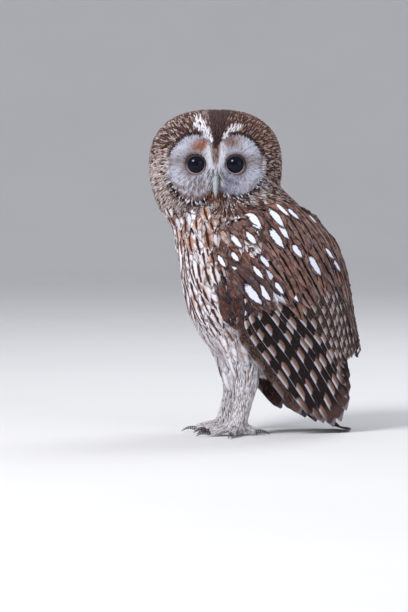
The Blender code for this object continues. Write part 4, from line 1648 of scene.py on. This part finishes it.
def smooth_rows(rows, count):
    """Rows along a smooth curve through the given ones."""
    rows = np.array(rows)
    padded = np.concatenate((2 * rows[:1] - rows[1:2], rows, 2 * rows[-1:] - rows[-2:-1]))
    found = []
    for value in np.linspace(0, len(rows) - 1, count):
        i = min(int(value), len(rows) - 2)
        t = value - i
        a, b, c, d = padded[i:i + 4]
        cubic = 2 * b + (c - a) * t + (2 * a - 5 * b + 4 * c - d) * t ** 2
        found.append(0.5 * (cubic + (3 * b - a - 3 * c + d) * t ** 3))
    return np.array(found)


# %% Surface of the folded wing


def wing_side(place, reach):
    """How far out the folded wing is: on the arm above, on the hand below."""
    half_width, to_breast, to_back = section(place)
    hand = np.interp(place, HAND_PLACES, HAND_HALF_WIDTHS)
    rounding = curl(reach, np.maximum(to_breast, HAND_CURL), to_back, 0.01)
    return rounding * (half_width + (hand - half_width) * ramp(place, 0.66, 1.0))


def wing_frame(place, reach, side):
    """World points and outward normals on the folded wing."""
    step = 0.0005

    def at(place, reach):
        return from_spine(place, reach, side * wing_side(place, reach))

    here = at(place, reach)
    normal = np.cross(at(place + step / SPINE_LENGTH, reach) - here, at(place, reach + step) - here)
    return here, unit(normal) * side


# %% Hand
skin_tree = BVHTree.FromPolygons(skin_points.tolist(), guide_triangles.tolist())


def above_skin(lines, ups, clearance):
    """Raises the stretches of lines that run under the skin until they clear it."""
    raised = lines.copy()
    for index in np.ndindex(lines.shape[:2]):
        up = Vector(ups[index])
        hit = skin_tree.ray_cast(Vector(lines[index]) + up * 0.009, -up, 0.009 + clearance)
        if hit[0] is not None:
            raised[index] = np.array(hit[0] + up * clearance)
    return raised


edges = np.stack([smooth_rows(edge, BLADE_STATIONS) for edge in HAND_EDGES])
count = len(edges)
inner = ramp(np.linspace(0, 1, count), 0.44, 0.62)  # 0 on the outer feathers, 1 on the inner ones
widths = (9.0 - 1.6 * inner) * MM
half = widths[:, None] * blade_outline(0.085)[None]
bar_step = 0.0208 - 0.0080 * inner
first_plain = (np.arange(count) == 0) * 0.6
ground = blend(blend(BUFF, RUFOUS, 0.35) * 0.5, BUFF * 0.75, inner)
quill_chance = np.random.default_rng(80)
for word, side in SIDES:
    here, normal = wing_frame(edges[..., 0], edges[..., 1] * MM, side)
    along = unit(np.gradient(here, axis=1))
    shafts = here + unit(np.cross(normal, along)) * side * widths[:, None, None] * (1 + SHAFT)
    place, reach, out = on_spine(shafts)
    here, normal = wing_frame(place, reach, side)
    bedded = ramp(place[..., None], 0.46, 0.62)
    lift = MM * (-0.9 + 2.2 * bedded - 1.0 * ramp(place[..., None], 0.62, 1.0))
    lines = above_skin(here + normal * lift, normal, 0.9 * MM)
    lines = evened(lines, 3)
    along = unit(np.gradient(lines, axis=1))
    points = blades(lines, normal, unit(np.cross(normal, along)) * side, half, 0.9 * MM)
    bars = (lines[:, 0, 2] - lines[:, -1, 2]) / bar_step
    heights = np.concatenate((BAR_HEIGHTS, quill_chance.uniform(0.09, 0.11, count - len(BAR_HEIGHTS))))
    phases = 0.25 - (lines[:, 0, 2] - heights) / bar_step
    bar_share = 1.0 - 0.15 * inner - first_plain
    marks = np.stack((bars, bar_share, 0.08 + 0.40 * inner + first_plain), axis=-1)
    if side > 0:
        points = points[:, :, ::-1]
    across = blade_across[::-1] if side > 0 else blade_across
    plant(
        f"flight_feathers_{word}", points, phases, marks, ground,
        wing_unwrap(lines[:, 0]), QUILL, patch=0.02, across=across,
    )

# %% [markdown]
# ## Tail
#
# Twelve feathers make the tail, and the two in the middle lie on each other, so eleven show.
# They hang down from under the wings, bend at the floor and lie along it. One line gives the
# whole tail's course, and each feather keeps its own place across it.

# %% Tail
TAIL_LINE = (  # to the back, up and half width, in metres, from under the wings to the end
    (0.062, 0.100, 0.0135), (0.076, 0.076, 0.0165), (0.086, 0.054, 0.0195), (0.094, 0.034, 0.022),
    (0.103, 0.017, 0.0245), (0.114, 0.0055, 0.026), (0.124, 0.0022, 0.026), (0.132, 0.0016, 0.0225),
)
TAIL_FEATHERS = 11
TAIL_HALF_WIDTH = 0.0078
TAIL_MARKS = (6.0, 0.40, 0.6)  # how many bars, and how strong the bars and the mottling are
FLOOR_GAP = 0.0004
slots = np.linspace(-1, 1, TAIL_FEATHERS)[:, None]
tail_line = np.array(TAIL_LINE)
tail_length = np.concatenate(([0], np.cumsum(np.hypot(*np.diff(tail_line[:, :2], axis=0).T))))
reached = np.linspace(0, 1, BLADE_STATIONS) * tail_length[-1] * (1 - 0.05 * slots ** 2)
tail_y, tail_z, tail_half = (np.interp(reached, tail_length, column) for column in tail_line.T)
stacked = (1 - np.abs(slots)) * 0.0012
lines = np.stack((slots * (tail_half - 0.006), tail_y + DESIGN_SHIFT, tail_z + stacked), axis=-1)
along = unit(np.gradient(lines, axis=1))
ups = unit(np.cross(along, np.broadcast_to((1.0, 0.0, 0.0), along.shape)))
ups = np.where(ups[..., 1:2] < 0, -ups, ups)
facing = unit(np.cross(ups, along))
facing = facing * np.sign(facing[:, :1, :1]) * np.where(slots[..., None] > 0, -1.0, 1.0)
half = TAIL_HALF_WIDTH * blade_outline(0.12)[None] * np.ones((TAIL_FEATHERS, 1))
points = blades(lines, ups, facing, half, 0.5 * MM)
points[..., 2] = np.maximum(points[..., 2], FLOOR_GAP)
plant(
    "tail_feathers", points, quill_chance.random(TAIL_FEATHERS), np.tile(TAIL_MARKS, (TAIL_FEATHERS, 1)),
    blend(GREY_BROWN, BUFF, 0.3 * np.ones(TAIL_FEATHERS)), body_unwrap(lines[:, 0]), QUILL,
    patch=0.02, across=blade_across,
)


# %% [markdown]
# ## Legs and toes
#
# A tawny owl's legs and toes are feathered down to the claws. The feathers get shorter and
# finer on the way down. Longer, looser down hangs from the belly round the thighs. The three
# lengths of the leg differ only in numbers, so one loop plants them.

# %% Leg feathers
LEG_X = (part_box("shank_left")[0][0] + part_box("shank_left")[1][0]) / 2
LEG_Y = (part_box("foot_left")[0][1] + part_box("foot_left")[1][1]) / 2 + 0.0045


def leg_lie(points, normals):
    out = np.stack((points[:, 0] - np.sign(points[:, 0]) * LEG_X, points[:, 1] - LEG_Y), axis=-1)
    away = np.linalg.norm(out, axis=1)
    flat = ramp(away, 0.008, 0.014) * (1 - ramp(points[:, 2], 0.012, 0.020))
    outwards = np.concatenate((out / np.maximum(away, 1e-6)[:, None], np.zeros((len(points), 1))), axis=1)
    return outwards * flat[:, None] - UP[None] * (1 - 0.8 * flat)[:, None]


def leg_ground(points, chance):
    count = len(points)
    colour = blend(WHITE * 0.95, BUFF, 0.45 * chance.random(count) ** 2)
    fleck = (chance.random(count) < 0.16) & (points[:, 2] < 0.07)
    colour = blend(colour, BROWN, np.where(fleck, 0.55, 0.0))
    return colour * chance.uniform(0.85, 1.05, (count, 1))


for name, kind, spacing, length, width, deep in (
    ("thigh_feathers", THIGH_KIND, 2.4, 13.0, 3.4, 2.2),
    ("shank_feathers", SHANK_KIND, 1.5, 7.5, 2.0, 1.4),
    ("toe_feathers", FOOT_KIND, 1.15, 4.2, 1.5, 0.9),
):
    feathers(
        name, spread_roots(lambda points, kinds: kinds == kind, spacing * MM, 90 + kind), leg_lie,
        length, width, leg_ground, leg_unwrap, 94 + kind, deep=deep, rise=(-0.2, 0.6),
    )

# %% Belly down


def down_share(points, kinds):
    place, reach, _ = on_spine(points)
    low = ramp(place, 0.50, 0.70) * ramp(-reach, -0.02, 0.03)
    return low * (kinds == BODY_KIND)


def down_ground(points, chance):
    count = len(points)
    colour = blend(WHITE, BUFF, 0.35 * chance.random(count))
    return colour * chance.uniform(0.9, 1.05, (count, 1))


feathers(
    "belly_down", spread_roots(down_share, 2.2 * MM, 98), body_lie, 15.0, 1.7, down_ground, body_unwrap, 99,
    rise=(0.8, 3.4), stray=0.22,
)

# %% [markdown]
# ## Eyes and lids
#
# The eyeballs are large, dark and wet: a ball with a still darker pupil under a clear coat.
# Each sits in a soft pink ring of lid that hugs the ball and meets the skin under the first
# feathers of the disc. The lids are part of the skin, and join it further below.

# %% Eyes
eye_material, eye_tree, eye_shader = principled("dark eye", 0.06, "eye", specular=0.0)
eye_place = object_place(eye_tree)
iris_grain = noise(eye_tree, eye_place, 900.0, 3.0)
# The iris and pupil are near black, with a blue tint that is a painted reflection of a pale sky.
iris = mix_colour(eye_tree, iris_grain, linear(11, 12, 24), linear(22, 22, 36))
toward_front = calc(eye_tree, "DIVIDE", split_xyz(eye_tree, eye_place)["Z"], EYE_RADIUS)
pupil = step_up(eye_tree, toward_front, 0.80, 0.84)
eye_tree.links.new(mix_colour(eye_tree, pupil, iris, linear(4, 9, 26)), eye_shader.inputs["Base Color"])
eye_shader.inputs["Coat Weight"].default_value = 0.35
eye_shader.inputs["Coat Roughness"].default_value = 0.02


def link_piece(name, mesh, material, node):
    """A piece that covers one node of the frame."""
    mesh.shade_smooth()
    mesh.materials.append(material)
    obj = linked(name, mesh)
    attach(obj, "root")
    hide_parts(node)
    return obj


eye_axes = Matrix(np.column_stack((ACROSS, UP, AHEAD)).tolist()).to_4x4()
for word, side in SIDES:
    bm = bmesh.new()
    bmesh.ops.create_uvsphere(bm, u_segments=64, v_segments=40, radius=EYE_RADIUS)
    ball = link_piece(f"eyeball_{word}", finished_mesh(bm, "eyeball"), eye_material, f"eye_{word}")
    ball.matrix_world = Matrix.Translation(Vector(EYES[word])) @ eye_axes

# %% Lids
LID_PROFILE = (  # distance from the eye's axis and ahead of its centre, in millimetres
    (10.75, 3.8), (10.0, 5.9), (9.2, 7.0), (9.0, 7.6), (9.2, 8.0), (9.7, 7.8), (10.3, 6.9),
    (11.1, 5.0), (11.9, 3.0), (11.4, 2.4),
)
LID_STEPS = 56


def lid_rings(centre):
    rings = []
    for step in range(LID_STEPS):
        turn = step / LID_STEPS * math.tau
        high = max(math.sin(turn), 0.0)
        ring = []
        for radius, ahead in LID_PROFILE:
            squeeze = 0.4 * high ** 2 * (1 if radius < 10 else 0.4)
            brow = 0.5 * high ** 3
            off = ACROSS * math.cos(turn) * radius + UP * math.sin(turn) * (radius - squeeze)
            ring.append(centre + (off + AHEAD * (ahead + brow)) * MM)
        rings.append(ring)
    return rings


def tube(name, rings, closed):
    """A mesh round rings of points. closed joins the last ring to the first, or else the ends
    are capped."""
    bm = bmesh.new()
    made = [[bm.verts.new(point) for point in ring] for ring in rings]
    count = len(made) if closed else len(made) - 1
    for i in range(count):
        first, second = made[i], made[(i + 1) % len(made)]
        for j in range(len(first)):
            k = (j + 1) % len(first)
            bm.faces.new((first[j], first[k], second[k], second[j]))
    if not closed:
        bm.faces.new(made[0][::-1])
        bm.faces.new(made[-1])
    bmesh.ops.recalc_face_normals(bm, faces=bm.faces)
    return finished_mesh(bm, name)


# %% [markdown]
# ## Bill and claws
#
# The bill is smooth, pale horn, hooked down over the lower half. It could be sculpted, but
# rings along a smooth curve keep it clean, and a few numbers hold its whole shape. The claws
# are black, glossy horn. Their solids are already curved and round, so a finer copy of each
# does, with a surface of its own.

# %% Bill


def grained(name, roughness, slot, scale, detail, dark, pale, specular=0.12):
    """A material whose colour wanders from dark to pale in grains, finer with a larger scale."""
    material, tree, shader = principled(name, roughness, slot, specular)
    grain = noise(tree, object_place(tree), scale, detail)
    tree.links.new(mix_colour(tree, grain, dark, pale), shader.inputs["Base Color"])
    return material, shader


bill_material, bill_shader = grained(
    "horn of the bill", 0.38, "bill", 260.0, 4.0, HORN_PALE * 0.62, HORN_PALE * 0.92
)
bill_shader.inputs["Subsurface Weight"].default_value = 0.15
bill_shader.inputs["Subsurface Radius"].default_value = (0.002, 0.0015, 0.001)
bill_shader.inputs["Subsurface Scale"].default_value = 1.0

UPPER_BILL = (  # ahead and up from the head's centre, half width and half depth, in millimetres
    (38.0, -18.5, 3.2, 4.2), (44.0, -20.5, 3.4, 4.7), (49.5, -24.5, 3.2, 4.9), (52.5, -29.2, 2.7, 4.1),
    (53.1, -34.2, 1.8, 2.8), (51.2, -39.2, 0.35, 0.6),
)
LOWER_BILL = (
    (38.0, -30.0, 3.2, 2.3), (43.0, -31.5, 3.0, 2.1), (46.2, -33.5, 1.9, 1.4), (47.4, -35.2, 0.6, 0.5),
)
BILL_SIDES = 28


def bill_piece(name, line, count, node):
    rows = smooth_rows(line, count)
    ahead_step = np.gradient(rows[:, :2], axis=0)
    ahead_step /= np.linalg.norm(ahead_step, axis=1, keepdims=True)
    rings = []
    for (ahead, up, half_width, half_depth), (d_ahead, d_up) in zip(rows, ahead_step):
        over = AHEAD * -d_up + UP * d_ahead
        ring = []
        for step in range(BILL_SIDES):
            turn = step / BILL_SIDES * math.tau
            ridge = 1.0 + 0.10 * max(math.sin(turn), 0.0) ** 4
            c, s = math.cos(turn), math.sin(turn)
            off = ACROSS * (abs(c) ** 0.9 * math.copysign(half_width, c)) + over * (s * half_depth * ridge)
            ring.append(HEAD_CENTRE + (AHEAD * ahead + UP * up + off) * MM)
        rings.append(ring)
    link_piece(name, tube(name, rings, closed=False), bill_material, node)


bill_piece("bill_horn_upper", UPPER_BILL, 40, "bill_upper")
bill_piece("bill_horn_lower", LOWER_BILL, 20, "bill_lower")

# %% Claws
claw_material, _ = grained(
    "horn of the claws", 0.28, "claw", 500.0, 3.0, linear(22, 19, 20), linear(58, 50, 48), specular=0.5
)
TOES = ("inner", "middle", "outer", "hind")
for word, side in SIDES:
    for toe in TOES:
        node = f"claw_{toe}_{word}"
        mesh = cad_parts[node].data.copy()
        mesh.materials.clear()
        horn = link_piece(f"horn_{toe}_{word}", mesh, claw_material, node)
        horn.matrix_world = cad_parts[node].matrix_world.copy()
        finer = horn.modifiers.new("Finer", "SUBSURF")
        finer.levels = finer.render_levels = 2
print("claws:", len(SIDES) * len(TOES))

# %% [markdown]
# ## The skin's finish
#
# The skin shows only in slits between feathers, so it carries the same colours as the coat,
# made darker as painted shade for those slits: the functions that paint feathers at their tips
# paint the skin's points.
# Round the eyes it carries the lids, with a finish of their own in the same mesh.

# %% Skin colours
# The skin's colours are darkened as painted shade in the slits between feathers.
SKIN_PAINTED_SHADE = 0.62
skin_chance = np.random.default_rng(200)
skin_colour = np.zeros((len(guide_points), 3))
across, ahead, up = in_head(guide_points)
place, reach, side = on_spine(guide_points)
on_disc = (lobe_distance(across, up) < 1.0) & (ahead > 5)
on_head = (up > -58) & (guide_kind == BODY_KIND)
REGIONS = (
    (guide_kind == BODY_KIND, body_ground),
    (guide_kind == WING_KIND, covert_ground),
    (guide_kind >= THIGH_KIND, leg_ground),
    (on_head, crown_ground),
    (on_head & on_disc, disc_ground),
)
for region, colouring in REGIONS:
    skin_colour[region] = colouring(guide_points[region], skin_chance)
skin_colour *= SKIN_PAINTED_SHADE

# %% Skin and lids in one mesh


def ground_material(name, roughness, slot, scale, detail):
    """A material in the colours of the mesh's ground attribute, with a grain over them."""
    material, tree, shader = principled(name, roughness, slot)
    grain = noise(tree, object_place(tree), scale, detail)
    shade = calc(tree, "ADD", grain, 0.5)
    colour = scaled(tree, attribute(tree, "ground", "Color"), shade)
    tree.links.new(colour, shader.inputs["Base Color"])
    return material, tree, shader, grain


skin_material, *_ = ground_material("skin under the coat", 0.85, "plumage_breast", 500.0, 2.0)
lid_material, lid_tree, lid_shader, lid_grain = ground_material("eyelids", 0.55, "plumage_face", 700.0, 4.0)
bumped(lid_tree, lid_shader, lid_grain, 0.4, 0.0003)

layer = skin_mesh.attributes.new("ground", "FLOAT_COLOR", "POINT")
layer.data.foreach_set(
    "color", np.concatenate((skin_colour, np.ones((len(skin_colour), 1))), axis=1).astype(np.float32).ravel()
)
skin_mesh = applied(skin, "skin")
bm = bmesh.new()
bm.from_mesh(skin_mesh)
skin_faces = len(bm.faces)
ground_layer = bm.verts.layers.float_color["ground"]
skin_verts = len(bm.verts)
for word, side in SIDES:
    lid_mesh = tube("lid", lid_rings(EYES[word]), closed=True)
    bm.from_mesh(lid_mesh)
    bpy.data.meshes.remove(lid_mesh)
for face in list(bm.faces)[skin_faces:]:
    face.material_index = 1
# The lids are pink below and grow dark towards the top: the pink is their own colour, the darkening at the
# top is painted shade.
for vertex in list(bm.verts)[skin_verts:]:
    low = float(ramp(-in_head(np.array(vertex.co))[2], 0.0, 12.0))
    vertex[ground_layer] = (*(LID_PINK * (0.12 + 0.85 * low)), 1.0)
skin_mesh.materials.clear()
skin_mesh.materials.append(skin_material)
skin_mesh.materials.append(lid_material)
bm.to_mesh(skin_mesh)
bm.free()
skin_mesh.shade_smooth()
skin = linked("skin", skin_mesh)
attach(skin, "root")
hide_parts(*FLESH)
print("skin with lids:", len(skin_mesh.polygons), "faces")

# %% [markdown]
# ## What the blades stand for
#
# The solids of the folded hands and of the tail would show through the feathers, so the
# blades take their places, and the solids are hidden.

# %% Blades stand for the long feathers
for piece in coat_pieces:
    if piece.name.startswith("flight_feathers_"):
        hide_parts(piece.name.replace("flight_feathers", "primaries"))
    if piece.name == "tail_feathers":
        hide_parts("tail")

# %% [markdown]
# ## Stage, lights and camera
#
# The owl stands on a wide pale floor that curves up far behind it, so that no edge shows. A
# large soft light stands high on the viewer's left, a weaker one fills from the right, a third
# lights the edge from behind, and the rest comes from a pale surrounding. The camera is far
# off with a long lens, as for a picture of a small bird.

# %% Stage
VIEW_TURN = math.radians(75.0)
VIEW_RISE = math.radians(3.0)
VIEW_RIGHT = np.array((math.cos(VIEW_TURN), math.sin(VIEW_TURN), 0.0))
LEVEL_TOWARDS = np.array((math.sin(VIEW_TURN), -math.cos(VIEW_TURN), 0.0))
TO_CAMERA = LEVEL_TOWARDS * math.cos(VIEW_RISE) + UP * math.sin(VIEW_RISE)
VIEW_UP = np.cross(TO_CAMERA, VIEW_RIGHT)

stage_material, _ = grained(
    "pale floor", 0.9, None, 3.0, 2.0, linear(218, 218, 220), linear(224, 224, 226)
)


def bowl(flat, wide, tall, segments=96):
    """A floor that stays level as far as flat and then curves up all round into a wall."""
    turns = np.linspace(0, math.pi / 2, 17)
    radii = np.concatenate(((flat * 0.5,), flat + (wide - flat) * np.sin(turns), (wide,)))
    heights = np.concatenate(((0.0,), (wide - flat) * (1 - np.cos(turns)), (tall,)))
    around = np.linspace(0, math.tau, segments, endpoint=False)
    ring = np.stack((np.cos(around), np.sin(around), np.zeros(segments)), axis=-1)
    points = ring[None] * radii[:, None, None] + heights[:, None, None] * UP
    points = np.concatenate((np.zeros((1, 3)), points.reshape(-1, 3)))
    faces = [(0, 1 + k, 1 + (k + 1) % segments) for k in range(segments)]
    for row in range(len(radii) - 1):
        for k in range(segments):
            a = 1 + row * segments + k
            b = 1 + row * segments + (k + 1) % segments
            faces.append((a, a + segments, b + segments, b))
    mesh = bpy.data.meshes.new("floor")
    mesh.from_pydata(points.tolist(), [], faces)
    mesh.polygons.foreach_set("use_smooth", np.ones(len(mesh.polygons), dtype=bool))
    return mesh


floor = linked("floor", bowl(3.6, 6.6, 5.0))
floor.data.materials.append(stage_material)
floor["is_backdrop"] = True

# %% Lights


def soft_light(name, right, up, towards, width, power, colour):
    """A square area light placed by its distance right, up and towards the camera, in metres."""
    data = bpy.data.lights.new(name, "AREA")
    data.size = width
    data.energy = power
    data.color = colour
    obj = linked(name, data)
    target = HEAD_CENTRE - UP * 0.10
    place = target + VIEW_RIGHT * right + UP * up + LEVEL_TOWARDS * towards
    obj.location = place
    obj.rotation_euler = Vector(target - place).to_track_quat("-Z", "Y").to_euler()


SKY_TINT = (0.92, 0.95, 1.0)
soft_light("key", -1.5, 2.1, 1.75, 0.95, 84, (1.0, 0.98, 0.96))
soft_light("fill", 1.9, 0.8, 1.8, 1.8, 10, SKY_TINT)
soft_light("edge", 0.8, 1.9, -1.1, 1.0, 18, (0.95, 0.97, 1.0))

world = bpy.data.worlds.new("pale surrounding")
bpy.context.scene.world = world
world.use_nodes = True
background = world.node_tree.nodes["Background"]
background.inputs["Color"].default_value = (*SKY_TINT, 1.0)
background.inputs["Strength"].default_value = 0.56
bpy.context.scene.view_settings.view_transform = "Standard"

# %% Camera
FRAME_HEIGHT = 0.661  # metres seen from the bottom to the top of the picture
CAMERA_DISTANCE = 3.0
SENSOR = 36.0
camera_data = bpy.data.cameras.new("camera")
camera_data.sensor_fit = "VERTICAL"
camera_data.sensor_height = SENSOR
camera_data.lens = SENSOR * CAMERA_DISTANCE / FRAME_HEIGHT
camera_data.clip_end = 40.0
camera = linked("camera", camera_data)
aim = HEAD_CENTRE - VIEW_RIGHT * 0.0124 - VIEW_UP * 0.1563
looking = Matrix(np.column_stack((VIEW_RIGHT, VIEW_UP, TO_CAMERA)).tolist()).to_4x4()
looking.translation = Vector(aim + TO_CAMERA * CAMERA_DISTANCE)
camera.matrix_world = looking
bpy.context.scene.camera = camera
print("camera", round(looking.translation.z, 3), "m above the floor")

# %% [markdown]
# ## Size
#
# The box of the finished model is written beside the box of the solids, so the two can be
# compared: feathers may reach out of the solids only by a hair.

bpy.context.view_layer.update()
model_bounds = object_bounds()
for axis, word in enumerate(("across", "front to back", "up")):
    solid = cad_bounds[1][axis] - cad_bounds[0][axis]
    shown = model_bounds[1][axis] - model_bounds[0][axis]
    print(f"{word}: solids {solid * 1000:.1f} mm, model {shown * 1000:.1f} mm")

triangles = 0
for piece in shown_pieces():
    if piece.type == "MESH":
        triangles += sum(len(face.vertices) - 2 for face in piece.data.polygons)
print("triangles of the model:", triangles)
